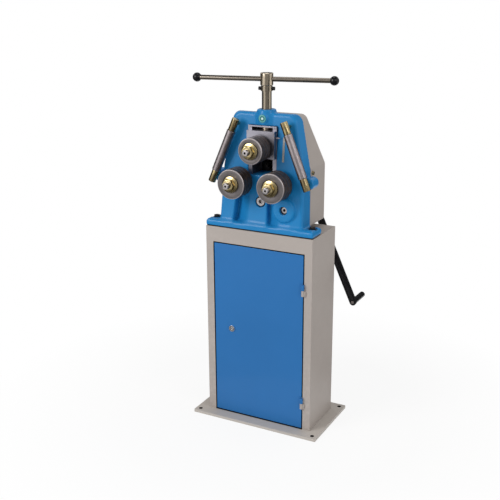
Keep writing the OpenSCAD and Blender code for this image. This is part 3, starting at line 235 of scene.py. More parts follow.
class BenderStage(bpy.types.PropertyGroup):
    """Camera, lights and floor."""

    camera_place: place_prop("Camera place", "Where the camera stands", (1.2595, -2.5181, 1.4816))
    camera_yaw: angle_prop("Camera yaw", "Turn of the view to the left", 28.01)
    camera_pitch: angle_prop("Camera pitch", "Downward tilt of the view", 17.15)
    camera_roll: angle_prop("Camera roll", "Roll of the view", -0.30)
    focal_px: FloatProperty(name="Focal length", description="Focal length in pixels", default=852.4, min=1)
    image_px: FloatProperty(name="Image width", description="Image's width in pixels", default=500, min=1)
    sensor_mm: FloatProperty(name="Sensor", description="Sensor's width in millimetres", default=36, min=1)
    key_power: power_prop("Key light", "Power of the key light", 60)
    key_place: place_prop("Key place", "Where the key light hangs", (-1.7, -2.8, 2.2))
    fill_power: power_prop("Fill light", "Power of the fill light", 20)
    fill_place: place_prop("Fill place", "Where the fill light hangs", (2.6, -1.2, 1.6))
    side_width: length_prop("Side light width", "Diameter of the key and fill lights", 1.8)
    top_power: power_prop("Top light", "Power of the top light", 15)
    top_place: place_prop("Top place", "Where the top light hangs", (0.2, 0.4, 3.2))
    top_width: length_prop("Top light width", "Diameter of the top light", 2.2)
    light_target: place_prop("Light target", "Where the lights point", (0, 0, 0.75))
    world_level: FloatProperty(name="World level", description="Strength of the world's light", default=0.45)
    floor_size: length_prop("Floor size", "Half width of the floor", 14.0)
    floor_white: FloatProperty(
        name="Floor white", description="Share of plain white in the floor that the camera sees",
        default=0.86, min=0, max=1, subtype="FACTOR")
    shadow_reach: length_prop("Shadow reach", "Distance within which the floor shows the shadow", 0.55)
    card_distance: length_prop("Card distance", "Distance of the dark cards from the machine", 2.2)
    card_height: length_prop("Card height", "Height of the dark cards", 1.7)
    roof_height: length_prop("Ceiling height", "Height of the dark ceiling", 2.5)
    roof_reach: length_prop("Ceiling reach", "Radius of the dark ceiling", 1.5)
    mat_inner: length_prop("Mat inner edge", "Distance of the mat's inner edge from the machine", 0.45)
    floor_colour: colour_prop("Floor colour", "Colour of the floor", (0.92, 0.92, 0.92))


def sizes():
    """The sizes in use."""
    return bpy.context.scene.bender_sizes


def finishes():
    """The colours in use."""
    return bpy.context.scene.bender_finishes


def stage():
    """The stage's settings in use."""
    return bpy.context.scene.bender_stage


class Shader:
    """Builds one procedural material on a Principled shader."""

    def __init__(self, name, metallic, roughness):
        self.material = bpy.data.materials.new(name)
        self.material.use_nodes = True
        self.tree = self.material.node_tree
        self.surface = self.tree.nodes["Principled BSDF"]
        self.set("Metallic", metallic)
        self.set("Roughness", roughness)
        self.place = self.node("ShaderNodeTexCoord").outputs["Object"]

    def set(self, name, value):
        self.surface.inputs[name].default_value = value

    def node(self, kind, **settings):
        made = self.tree.nodes.new(kind)
        for key, value in settings.items():
            setattr(made, key, value)
        return made

    def join(self, source, target):
        self.tree.links.new(source, target)

    def feed(self, made, name, value):
        """Links or sets an input."""
        if isinstance(value, bpy.types.NodeSocket):
            self.join(value, made.inputs[name])
        else:
            made.inputs[name].default_value = value

    def vector(self, operation, *values):
        made = self.node("ShaderNodeVectorMath", operation=operation)
        for i, value in enumerate(values):
            self.feed(made, i, value)
        return made.outputs

    def noise(self, scale, detail=3, stretch=None):
        """Cloudy noise, drawn out where a stretch is named."""
        made = self.node("ShaderNodeTexNoise")
        place = self.place if stretch is None else self.vector("MULTIPLY", self.place, stretch)[0]
        self.feed(made, "Vector", place)
        self.feed(made, "Scale", scale)
        self.feed(made, "Detail", detail)
        self.feed(made, "Roughness", 0.55)
        return made.outputs["Fac"]

    def ramp(self, value, low, high, start=0, end=1):
        made = self.node("ShaderNodeMapRange")
        self.feed(made, "Value", value)
        self.feed(made, "From Min", low)
        self.feed(made, "From Max", high)
        self.feed(made, "To Min", start)
        self.feed(made, "To Max", end)
        return made.outputs["Result"]

    def blend(self, factor, first, second):
        """A mix of two colours."""
        made = self.node("ShaderNodeMix", data_type="RGBA")
        self.feed(made, "Factor", factor)
        for socket, colour in zip([s for s in made.inputs if s.type == "RGBA"], (first, second)):
            if isinstance(colour, bpy.types.NodeSocket):
                self.join(colour, socket)
            else:
                socket.default_value = (*colour, 1)
        return [s for s in made.outputs if s.type == "RGBA"][0]

    def clouded(self, value, colour, dark, light, low=0.3, high=0.7):
        """A colour that a value takes from a darker to a lighter share."""
        return self.blend(self.ramp(value, low, high), tinted(colour, dark), tinted(colour, light))

    def maths(self, operation, first, second):
        made = self.node("ShaderNodeMath", operation=operation)
        self.feed(made, 0, first)
        self.feed(made, 1, second)
        return made.outputs[0]

    def times(self, first, second):
        return self.maths("MULTIPLY", first, second)

    def split(self, source):
        """The X, Y and Z of a place or a direction."""
        made = self.node("ShaderNodeSeparateXYZ")
        self.join(source, made.inputs[0])
        return made.outputs

    def axis_distance(self, point, axis):
        """Distance of a surface point from a line, for marks that a lathe leaves."""
        offset = self.vector("SUBTRACT", self.place, point)[0]
        return self.vector("LENGTH", self.vector("CROSS_PRODUCT", offset, axis)[0])["Value"]

    def rings(self, point, axis, scale):
        """Noise that changes only along and away from an axis."""
        along = self.vector("DOT_PRODUCT", self.place, axis)["Value"]
        made = self.node("ShaderNodeTexNoise", noise_dimensions="1D")
        self.feed(made, "W", self.maths("ADD", self.axis_distance(point, axis), along))
        self.feed(made, "Scale", scale)
        self.feed(made, "Detail", 2)
        return made.outputs["Fac"]

    def span(self, axis, low, high):
        """1 between two places along an axis, 0 beyond them."""
        value = self.split(self.place)[axis]
        below = self.ramp(value, low - MASK_EDGE, low)
        return self.times(below, self.ramp(value, high, high + MASK_EDGE, 1, 0))

    def inside(self, low, high):
        """1 inside a box, 0 beyond it."""
        x, y, z = (self.span(axis, a, b) for axis, a, b in zip("XYZ", low, high))
        return self.times(self.times(x, y), z)

    def edge_wear_and_highlight(self, low, high):
        """Share of the sharp outer edges, for wear and for painted highlights."""
        return self.ramp(self.node("ShaderNodeNewGeometry").outputs["Pointiness"], low, high)

    def colour(self, value):
        self.feed(self.surface, "Base Color", value)

    def roughness(self, value, low, high):
        self.feed(self.surface, "Roughness", self.ramp(value, 0.3, 0.7, low, high))

    def bump(self, height, strength, distance):
        """Adds a bump over those that are there."""
        made = self.node("ShaderNodeBump")
        self.feed(made, "Strength", strength)
        self.feed(made, "Distance", distance)
        self.join(height, made.inputs["Height"])
        last = self.surface.inputs["Normal"].links
        if last:
            self.join(last[0].from_socket, made.inputs["Normal"])
        self.join(made.outputs["Normal"], self.surface.inputs["Normal"])


def tinted(colour, share):
    """A colour darkened or lightened by a share."""
    return tuple(max(0, min(1, c * share)) for c in colour)


def casting_foot_shade(made):
    """Painted shade: a black band at the casting's foot, in the joint under the flange."""
    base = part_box("main_casting")[0].z
    return made.span("Z", base - MASK_EDGE, base + sizes().foot_gap)


def cabinet_gap_shade(made):
    """Painted shade: black in the gap round the door and on the walls of the floor holes."""
    size = sizes()
    low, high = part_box("door_panel")
    reach = size.door_gap + GAP_LAP
    dark = made.inside((low.x - reach, low.y - GAP_FRONT, low.z - reach),
                       (high.x + reach, low.y + GAP_DEEP * reach, high.z + reach))
    low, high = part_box("base_plate")
    inset = size.hole_inset
    for x in (low.x + inset, high.x - inset):
        for y in (low.y + inset, high.y - inset):
            away = made.axis_distance((x, y, 0), Z_AXIS)
            hole = made.ramp(away, size.hole_r, size.hole_r + MASK_EDGE, 1, 0)
            dark = made.maths("MAXIMUM", dark, made.times(hole, made.span("Z", low.z, high.z)))
    return dark


def door_rim_shade(made):
    """Painted shade: black on the folds round the door, behind its front."""
    low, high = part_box("door_panel")
    across = made.span("X", low.x + FOLD_LAP, high.x - FOLD_LAP)
    upward = made.span("Z", low.z + FOLD_LAP, high.z - FOLD_LAP)
    rim = made.maths("SUBTRACT", 1, made.times(across, upward))
    return made.times(rim, made.span("Y", low.y + sizes().fold_edge, high.y))


def enamel(name, colour, painted_shade, peel=0.10, waviness=0.02, roughness=0.46, gloss=0.25, coat=0, wear_and_highlight=0.12):
    """Sprayed enamel: faint cloudiness, orange peel, edges lightened as wear and as painted highlight, and black
    painted shade in gaps and hollows.
    """
    made = Shader(name, 0, roughness)
    base = made.clouded(made.noise(4, 3), colour, 0.965, 1.03)
    speck = made.ramp(made.noise(420, 2), 0.72, 0.78)
    grime = made.blend(made.times(speck, 0.15), base, tinted(colour, 0.45))
    # Lighter edges: wear, and on the door mostly a painted highlight
    wear = made.times(made.edge_wear_and_highlight(0.56, 0.66), made.ramp(made.noise(90, 4), 0.45, 0.62))
    shade = made.blend(made.times(wear, wear_and_highlight), grime, tinted(colour, 2))
    # Black painted shade in gaps and hollows, where the mask says
    made.colour(made.blend(painted_shade(made), shade, finishes().black))
    made.roughness(made.noise(28, 3), roughness - 0.04, roughness + 0.05)
    made.bump(made.noise(55, 3), waviness, WAVE_DEPTH)
    made.bump(made.noise(900, 2), peel, PEEL_DEPTH)
    made.set("Specular IOR Level", gloss)
    made.set("Coat Weight", coat)
    made.set("Coat Roughness", 0.08)
    return made.material


def turned_metal(name, colour, roughness, point, axis, marks):
    """Metal off a lathe, with rings around its axis."""
    made = Shader(name, 1, roughness)
    rings = made.rings(point, axis, marks)
    base = made.clouded(made.noise(22, 3), colour, 0.92, 1.06)
    made.colour(made.blend(made.ramp(rings, 0.4, 0.65, 0, 0.22), base, tinted(colour, 0.72)))
    made.roughness(rings, roughness - 0.04, roughness + 0.06)
    made.bump(rings, 0.05, TURNED_DEPTH)
    return made.material


def ground_metal(name, colour, roughness, stretch):
    """Flat ground metal, with straight marks."""
    made = Shader(name, 1, roughness)
    marks = made.noise(1, 3, stretch)
    base = made.clouded(made.noise(24, 4), colour, 0.82, 1.15)
    made.colour(made.blend(made.ramp(marks, 0.35, 0.7, 0, 0.4), base, tinted(colour, 0.7)))
    made.roughness(marks, roughness - 0.06, roughness + 0.12)
    made.bump(marks, 0.10, GRAIN_DEPTH)
    return made.material


def zinc_yellow(name, drawn):
    """Yellow passivated zinc, clouded, with edges lightened as wear and as painted highlight, and along drawn
    pieces dark streaks that are partly drawing marks and partly painted reflection.
    """
    look = finishes()
    made = Shader(name, 1, 0.30)
    clouds = made.ramp(made.noise(48, 2), 0.40, 0.64)
    base = made.blend(clouds, look.yellow_zinc, tinted(look.yellow_zinc, 0.80))
    base = made.blend(made.ramp(made.noise(36, 2), 0.56, 0.72, 0, 0.30), base, look.zinc_rose)
    # Along drawn pieces, dark streaks: partly drawing marks, partly a painted reflection of dark surroundings in
    # the round blocks
    if drawn:
        turn = made.node("ShaderNodeAttribute", attribute_name="turn")
        streak = made.node("ShaderNodeTexNoise")
        made.join(turn.outputs["Vector"], streak.inputs["Vector"])
        made.feed(streak, "Scale", 2.4)
        made.feed(streak, "Detail", 2)
        lines = made.ramp(streak.outputs["Fac"], 0.42, 0.58, 0, 0.75)
        base = made.blend(lines, base, look.zinc_streaks_and_reflection)
        made.bump(streak.outputs["Fac"], 0.10, STREAK_DEPTH)
    # Pale edges: partly wear, partly a painted highlight
    made.colour(made.blend(made.edge_wear_and_highlight(0.55, 0.68), base, look.zinc_wear_and_highlight))
    made.roughness(made.noise(160, 3), 0.16, 0.28)
    made.bump(made.noise(700, 2), 0.03, TURNED_DEPTH)
    return made.material


def roll_finish_and_light(name, centre, radius):
    """A roll: a grey turned face, sides painted dark as shade, and a painted highlight on the front rim."""
    look = finishes()
    made = Shader(name, 0.75, 0.42)
    # The sides are painted darker than the face, by their facing, as shade
    facing = made.split(made.node("ShaderNodeTexCoord").outputs["Normal"])["Y"]
    face = made.ramp(made.maths("ABSOLUTE", facing, 0), 0.3, 0.75)
    cloud = made.noise(60, 4)
    grey = made.clouded(cloud, look.roll_steel, 0.88, 1.10)
    dark = made.clouded(cloud, look.roll_side_shade, 0.8, 1.25, 0.35)
    marks = made.rings(centre, Y_AXIS, 700)
    grey = made.blend(made.ramp(marks, 0.4, 0.65, 0, 0.25), grey, tinted(look.roll_steel, 0.7))
    # Painted highlight on the front rim, where the chamfer catches the light
    end = centre[1] + RIM_DEEP
    near = made.ramp(made.split(made.place)["Y"], end, end + RIM_FADE, 1, 0)
    inner = radius - RIM_WIDTH
    rim = made.times(near, made.ramp(made.axis_distance(centre, Y_AXIS), inner - RIM_FADE, inner))
    made.colour(made.blend(rim, made.blend(face, dark, grey), tinted(look.roll_steel, 3.2)))
    made.roughness(made.noise(140, 3), 0.36, 0.52)
    made.bump(marks, 0.06, TURNED_DEPTH)
    made.bump(made.noise(420, 3), 0.08, GRAIN_DEPTH)
    return made.material


def shaft_end_and_shade(name, centre, hole, rim):
    """Turned end of a shaft along Y, painted black as shade in its centre hole and beyond a rim."""
    look = finishes()
    made = Shader(name, 1, 0.24)
    rings = made.rings(centre, Y_AXIS, 800)
    base = made.clouded(rings, look.bright_steel, 0.8, 1.1, 0.35, 0.65)
    away = made.axis_distance(centre, Y_AXIS)
    # Black painted shade beyond the rim and in the centre hole
    rimmed = made.blend(made.ramp(away, rim, rim + END_FADE), base, look.black)
    made.colour(made.blend(made.ramp(away, hole + HOLE_LAP, hole + END_FADE, 1, 0), rimmed, look.black))
    made.roughness(rings, 0.18, 0.32)
    made.bump(rings, 0.05, TURNED_DEPTH)
    return made.material


def plain_metal(name, colour, roughness):
    """Plated or oxidised metal with fine clouds and specks."""
    made = Shader(name, 1, roughness)
    base = made.clouded(made.noise(45, 4), colour, 0.86, 1.1)
    made.colour(made.blend(made.ramp(made.noise(380, 2), 0.62, 0.74, 0, 0.4), base, tinted(colour, 0.6)))
    made.roughness(made.noise(120, 3), roughness - 0.06, roughness + 0.10)
    made.bump(made.noise(650, 2), 0.05, GRAIN_DEPTH)
    return made.material


def black_finish(name, roughness, coat, dust):
    """Black plastic, paint or oxide with a little dust and handling wear."""
    colour = finishes().black
    made = Shader(name, 0, roughness)
    cloud = made.ramp(made.noise(30, 4), 0.35, 0.75, 0, dust)
    base = made.blend(cloud, colour, tinted(colour, 3.2))
    wear = made.times(made.edge_wear_and_highlight(0.55, 0.66), 0.4)
    made.colour(made.blend(wear, base, tinted(colour, 9)))
    made.roughness(made.noise(85, 3), roughness - 0.05, roughness + 0.12)
    made.bump(made.noise(500, 2), 0.05, GRAIN_DEPTH)
    made.set("Specular IOR Level", 0.2)
    made.set("Coat Weight", coat)
    made.set("Coat Roughness", 0.05)
    return made.material


def label_face(name, centre, radius):
    """Plain round label: a dark field, a lighter ring and a pale dot."""
    look = finishes()
    made = Shader(name, 0, 0.28)
    away = made.maths("DIVIDE", made.axis_distance(centre, Y_AXIS), radius)
    ring = made.times(made.ramp(away, 0.66, 0.70), made.ramp(away, 0.86, 0.90, 1, 0))
    face = made.blend(ring, look.label_teal, look.label_ring)
    dotted = made.blend(made.ramp(away, 0.24, 0.32, 1, 0), face, look.label_dot)
    made.colour(made.blend(made.ramp(made.noise(300, 2), 0.6, 0.8, 0, 0.2), dotted, look.label_ring))
    made.bump(made.noise(800, 2), 0.04, TURNED_DEPTH)
    made.set("Coat Weight", 0.4)
    return made.material


def strip_face(name, colour):
    """Matt face of the scale."""
    made = Shader(name, 0.3, 0.5)
    made.colour(made.clouded(made.noise(60, 3), colour, 0.85, 1.12, 0, 1))
    made.roughness(made.noise(150, 2), 0.42, 0.6)
    made.bump(made.noise(600, 2), 0.05, STRIP_DEPTH)
    return made.material


SHELF = {}


def finish_for(slot):
    """The material of a slot, made once."""
    if slot in SHELF:
        return SHELF[slot]
    look = finishes()
    upright = (60, 60, 2200)
    spindle = JOINT["spindle_turn"]["pos_m"]
    bar_middle = sum(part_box("cross_bar"), Vector()) / 2
    bar_axis = JOINT["bar_slide"]["axis"]
    makers = {
        "beige_paint": lambda: enamel("beige_enamel", look.beige, cabinet_gap_shade),
        "plate_paint": lambda: enamel("plate_enamel", look.plate_beige_lit, cabinet_gap_shade),
        "blue_paint": lambda: enamel("casting_enamel", look.casting_blue, casting_foot_shade, peel=0.12,
                                     waviness=0.2, roughness=0.34, gloss=0.2, coat=0.12, wear_and_highlight=0.2),
        # The door's edges are lightened mostly as a painted highlight, and its folds are painted black as shade
        "door_paint": lambda: enamel("door_enamel", look.door_blue, door_rim_shade,
                                     roughness=0.40, gloss=0.2, coat=0.1, wear_and_highlight=0.9),
        "dark_steel": lambda: plain_metal("dark_steel", look.dark_steel, 0.5),
        "black_fasteners": lambda: black_finish("black_oxide", 0.34, 0, 0.6),
        "machined_steel": lambda: ground_metal("ground_steel", look.bare_steel, 0.36, upright),
        "bronze": lambda: plain_metal("plain_bronze", look.bronze, 0.38),
        "yellow_zinc": lambda: zinc_yellow("yellow_zinc", False),
        "drawn_zinc": lambda: zinc_yellow("drawn_zinc", True),
        "bright_steel": lambda: plain_metal("bright_steel", look.bright_steel, 0.28),
        "zinc_plate": lambda: turned_metal("warm_zinc", look.warm_zinc, 0.20, spindle, Z_AXIS, 900),
        # The hub's zinc is the spindle's, made 1.4 times lighter as painted light on the hub
        "hub_zinc": lambda: turned_metal("hub_zinc", tinted(look.warm_zinc, 1.4), 0.18,
                                         spindle, Z_AXIS, 900),
        "bar_zinc": lambda: turned_metal("bar_zinc", look.bar_zinc, 0.20, bar_middle, bar_axis, 700),
        "scale_plate": lambda: strip_face("scale_face", look.strip_grey),
        "lock_chrome": lambda: plain_metal("lock_chrome", look.chrome, 0.24),
        "gear_steel": lambda: plain_metal("gear_steel", look.gear_steel, 0.40),
        "black_paint": lambda: black_finish("black_enamel", 0.30, 0.05, 0.4),
        "black_plastic": lambda: black_finish("black_plastic", 0.16, 0.15, 0.25),
        "sleeve_steel": lambda: plain_metal("sleeve_steel", look.sleeve_steel, 0.36),
    }
    SHELF[slot] = makers[slot]()
    return SHELF[slot]


def placed(name, data):
    """A new object in the scene."""
    made = bpy.data.objects.new(name, data)
    bpy.context.scene.collection.objects.link(made)
    return made


def mesh_of(shape, name):
    """A new mesh of a finished shape."""
    mesh = bpy.data.meshes.new(name)
    shape.to_mesh(mesh)
    shape.free()
    return mesh


def add_piece(name, mesh, body, slot, material, *nodes):
    """Puts a mesh into the scene as a piece on a body, in place of CAD nodes."""
    piece = placed(name, mesh)
    mesh.materials.clear()
    mesh.materials.append(material)
    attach(piece, body)
    if nodes:
        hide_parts(*nodes)
    return piece


def smooth_by_angle(mesh, degrees):
    """Smooth shading, with edges sharp from an angle on."""
    for face in mesh.polygons:
        face.use_smooth = True
    mesh.set_sharp_from_angle(angle=math.radians(degrees))


def dress_node(node, material=None):
    """Gives a CAD node that stays in view a material, its slot's unless another is named."""
    mesh = frame["nodes"][node].data
    mesh.materials.clear()
    mesh.materials.append(material or finish_for(NODE_SLOT[node]))


def softened(node, width, segments=2, material=None, fold=0, folded=None):
    """A copy of a CAD node with its sharp edges bevelled, and wider where a sheet is folded."""
    mesh = frame["nodes"][node].data.copy()
    mesh.name = node + "_soft"
    wide = max(width, fold)
    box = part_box(node)
    shape = bmesh.new()
    shape.from_mesh(mesh)
    bmesh.ops.remove_doubles(shape, verts=shape.verts, dist=WELD)
    flat = math.radians(FLAT_ANGLE)
    bmesh.ops.dissolve_limit(shape, angle_limit=flat, verts=shape.verts, edges=shape.edges)
    weight = shape.edges.layers.float.new("bevel_weight_edge")
    for edge in shape.edges:
        if len(edge.link_faces) == 2 and edge.calc_face_angle() > math.radians(SHARP_ANGLE):
            bent = folded is not None and all(folded(v.co, *box) for v in edge.verts)
            edge[weight] = 1 if bent else width / wide
    shape.to_mesh(mesh)
    shape.free()
    smooth_by_angle(mesh, SOFT_SHADE)
    piece = add_piece(node + "_soft", mesh, NODE_BODY[node], NODE_SLOT[node],
                      material or finish_for(NODE_SLOT[node]), node)
    bevel = piece.modifiers.new("soft_edges", "BEVEL")
    bevel.width = wide
    bevel.segments = segments
    bevel.limit_method = "WEIGHT"
    bevel.use_clamp_overlap = True
    bevel.harden_normals = True
    return piece


def rounded_profile(points, radii, steps=4):
    """A profile of (radius, along) points with its corners rounded."""
    out = []
    count = len(points)
    for i, corner in enumerate(points):
        here = Vector(corner)
        before = Vector(points[i - 1])
        after = Vector(points[(i + 1) % count])
        radius = radii[i] if hasattr(radii, "__len__") else radii
        u = before - here
        v = after - here
        if radius <= 0 or u.length < TINY or v.length < TINY:
            out.append(here)
            continue
        radius_room = min(u.length, v.length) * CORNER_ROOM
        u.normalize()
        v.normalize()
        half = math.acos(max(-1, min(1, u.dot(v)))) / 2
        if half > math.radians(STRAIGHT_HALF):
            out.append(here)
            continue
        reach = min(radius / math.tan(half), radius_room)
        for step in range(steps + 1):
            t = step / steps
            first = here + u * reach * (1 - t)
            second = here + v * reach * t
            out.append(first * (1 - t) + second * t)
    return [(p.x, p.y) for p in out]


def rod_profile(radius, start, end, near=0, far=0):
    """The profile of a rod, with its two rims rounded."""
    return rounded_profile([(0, start), (radius, start), (radius, end), (0, end)], (0, near, far, 0))


def lathe_mesh(name, profile, steps):
    """A mesh of a closed profile turned about the Z axis; points are (radius, height)."""
    verts = []
    faces = []
    count = len(profile)
    rows = []
    for radius, height in profile:
        if radius < TINY:
            rows.append([len(verts)])
            verts.append((0, 0, height))
            continue
        rows.append(list(range(len(verts), len(verts) + steps)))
        for k in range(steps):
            a = 2 * math.pi * k / steps
            verts.append((radius * math.cos(a), radius * math.sin(a), height))
    for i in range(count):
        low, high = rows[i], rows[(i + 1) % count]
        if len(low) == 1 and len(high) == 1:
            continue
        for k in range(steps):
            n = (k + 1) % steps
            if len(low) == 1:
                faces.append((low[0], high[n], high[k]))
            elif len(high) == 1:
                faces.append((low[k], low[n], high[0]))
            else:
                faces.append((low[k], low[n], high[n], high[k]))
    mesh = bpy.data.meshes.new(name)
    mesh.from_pydata(verts, [], faces)
    shape = bmesh.new()
    shape.from_mesh(mesh)
    bmesh.ops.recalc_face_normals(shape, faces=shape.faces)
    shape.to_mesh(mesh)
    shape.free()
    smooth_by_angle(mesh, LATHE_SHADE)
    turn = mesh.attributes.new("turn", "FLOAT_VECTOR", "POINT")
    for point, (x, y, height) in zip(turn.data, verts):
        away = max(math.hypot(x, y), NEAR)
        point.vector = (x / away, y / away, STREAK_RUN * height)
    return mesh


def turned(name, node, profile, base, axis, material=None, replace=True):
    """A turned piece: a profile about an axis that starts at base, riding as its node does."""
    mesh = lathe_mesh(name, profile, sizes().turn_steps)
    mesh.transform(Matrix.Translation(base) @ Vector(axis).to_track_quat("Z", "Y").to_matrix().to_4x4())
    nodes = (node,) if replace else ()
    return add_piece(name, mesh, NODE_BODY[node], NODE_SLOT[node],
                     material or finish_for(NODE_SLOT[node]), *nodes)


def y_start(node):
    """Front centre, radius and length of a round node along Y."""
    low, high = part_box(node)
    return Vector(((low.x + high.x) / 2, low.y, (low.z + high.z) / 2)), (high.z - low.z) / 2, high.y - low.y


def smooth_min(first, second, k):
    """The lower of two fields, with a fillet where they meet."""
    h = np.clip(0.5 + 0.5 * (second - first) / k, 0, 1)
    return second * (1 - h) + first * h - k * h * (1 - h)


def smooth_max(first, second, k):
    """The higher of two fields, with a rounding where they meet."""
    return -smooth_min(-first, -second, k)


def box_field(x, y, z, low, high, radius):
    """Distance to a box with rounded edges."""
    mid = (np.array(low) + np.array(high)) / 2
    half = (np.array(high) - np.array(low)) / 2 - radius
    q = [np.abs(v - m) - h for v, m, h in zip((x, y, z), mid, half)]
    outside = np.sqrt(sum(np.maximum(v, 0) ** 2 for v in q))
    return outside + np.minimum(np.maximum(np.maximum(q[0], q[1]), q[2]), 0) - radius


def rod_field(u, v, along, centre, radius, start, end, edge):
    """Distance to a rod with rounded rims."""
    across = np.hypot(u - centre[0], v - centre[1]) - radius + edge
    length = np.abs(along - (start + end) / 2) - (end - start) / 2 + edge
    outside = np.hypot(np.maximum(across, 0), np.maximum(length, 0))
    return outside + np.minimum(np.maximum(across, length), 0) - edge


def rounded_meet(first, second, radius):
    """Where two sides meet in an outer edge, rounded by a radius."""
    u, v = first + radius, second + radius
    return np.hypot(np.maximum(u, 0), np.maximum(v, 0)) + np.minimum(np.maximum(u, v), 0) - radius


def polygon_field(x, z, points):
    """Distance to a convex outline in XZ."""
    field = np.full(np.broadcast(x, z).shape, -np.inf)
    count = len(points)
    for i, (ax, az) in enumerate(points):
        bx, bz = points[(i + 1) % count]
        length = math.hypot(bx - ax, bz - az)
        nx, nz = (bz - az) / length, -(bx - ax) / length
        field = np.maximum(field, (x - ax) * nx + (z - az) * nz)
    return field


def outline_field(x, z, outline, corner):
    """Distance to a convex outline with rounded corners, by way of its inset copy."""
    count = len(outline)
    inner = []
    for i in range(count):
        before, here, after = (Vector(outline[j % count]) for j in (i - 1, i, i + 1))
        u = (before - here).normalized()
        v = (after - here).normalized()
        half = math.acos(max(-1, min(1, u.dot(v)))) / 2
        inner.append(here + (u + v).normalized() * corner / math.sin(half))
    best = np.full(np.broadcast(x, z).shape, np.inf)
    for i in range(count):
        a, b = inner[i], inner[(i + 1) % count]
        d = b - a
        t = np.clip(((x - a.x) * d.x + (z - a.y) * d.y) / d.length_squared, 0, 1)
        best = np.minimum(best, np.hypot(x - a.x - t * d.x, z - a.y - t * d.y))
    inside = polygon_field(x, z, [(p.x, p.y) for p in inner])
    return np.where(inside < 0, inside, best) - corner


def label_centre():
    """Place of the round label, on the front of the spindle boss."""
    size = sizes()
    spindle = JOINT["spindle_turn"]["pos_m"]
    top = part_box("main_casting")[1].z
    return Vector((0, spindle[1] - size.boss_r - LABEL_OUT, top - size.label_drop))


def surface_of(field, low, step):
    """Vertices and quads of a sampled field's zero surface."""
    shape = np.array(field.shape)
    cells = shape - 1
    total = np.zeros((*cells, 3))
    count = np.zeros(cells)
    crossings = []
    for axis in range(3):
        first = np.take(field, range(shape[axis] - 1), axis)
        second = np.take(field, range(1, shape[axis]), axis)
        crossed = np.argwhere((first < 0) != (second < 0))
        a = first[tuple(crossed.T)]
        b = second[tuple(crossed.T)]
        point = crossed.astype(float)
        point[:, axis] += a / (a - b)
        others = [k for k in range(3) if k != axis]
        inner = np.all((crossed[:, others] > 0) & (crossed[:, others] < cells[others]), axis=1)
        crossings.append((axis, others, crossed[inner], a[inner] < 0))
        for du in (0, 1):
            for dv in (0, 1):
                cell = crossed.copy()
                cell[:, others[0]] -= du
                cell[:, others[1]] -= dv
                keep = np.all((cell >= 0) & (cell < cells), axis=1)
                np.add.at(total, tuple(cell[keep].T), point[keep])
                np.add.at(count, tuple(cell[keep].T), 1)
    used = count > 0
    index = np.full(cells, -1)
    index[used] = np.arange(used.sum())
    verts = total[used] / count[used][:, None] * step + np.array(low)
    faces = []
    for axis, others, crossed, inside in crossings:
        corners = []
        for du, dv in ((0, 0), (1, 0), (1, 1), (0, 1)):
            cell = crossed.copy()
            cell[:, others[0]] -= du
            cell[:, others[1]] -= dv
            corners.append(index[tuple(cell.T)])
        quad = np.stack(corners, 1)
        flip = inside if axis != 1 else ~inside
        quad[flip] = quad[flip][:, ::-1]
        faces.append(quad)
    return verts, np.concatenate(faces)


# The casting's recesses: sides, height, slant and depth; each runs out to the right
Recess = namedtuple("Recess", "left right height slant depth")
RECESSES = (
    Recess(-95 * MM, -42 * MM, 118 * MM, 0.09, 32 * MM),
    Recess(26.5 * MM, 70 * MM, 92 * MM, -0.05, 22 * MM),
)
RECESS_ROUND = 4 * MM
RECESS_BLEND = 5 * MM

# The casting's front: how far its forms stand out or run in, and their roundings
WALL_TAPER = 1 * MM
BOSS_ROOT = 6 * MM
CRANK_BOSS_OUT = 10 * MM
CRANK_BOSS_ROUND = 8 * MM
BEARING_BOSS_ROUND = 2 * MM
LUG_ROUND = 5 * MM
SPINDLE_BOSS_H = 52 * MM
SPINDLE_BOSS_ROUND = 4 * MM
LABEL_SEAT = 0.6
FINE_ROUND = 1 * MM
CRISP_ROUND = 0.5 * MM

# The casting's back: the block behind the rails, the bosses of the shafts and the cover's lugs
RAIL_BLOCK_HALF = 66 * MM
RAIL_BLOCK_UNDER = 10 * MM
RAIL_BLOCK_OVER = 24 * MM
RAIL_BLOCK_ROUND = 2 * MM
REAR_ROOT = 10 * MM
REAR_ROUND = 1.5 * MM
REAR_FILLET = 3 * MM
GEAR_GAP = 0.3 * MM
REAR_BOSSES = (
    ("right_roll_spin", 1, 29 * MM),
    ("right_roll_spin", -1, 29 * MM),
    ("idler_spin", 1, 25 * MM),
    ("crank_turn", 1, 46 * MM),
)
COVER_LUG_IN = 133 * MM
COVER_LUG_OUT = 155 * MM
COVER_LUG_DEEP = 24 * MM

# The casting's bores and its window
OVERRUN = 60 * MM
WINDOW_ROUND = 2.5 * MM
CRANK_BORE_R = 14 * MM
BORE_ROUND = 1.5 * MM
SINK_GAP = 3 * MM
SINK_DEEP = 15 * MM
SINK_ROUND = 2 * MM
SPINDLE_BORE_R = 17 * MM
SPINDLE_BORE_LAP = 4 * MM


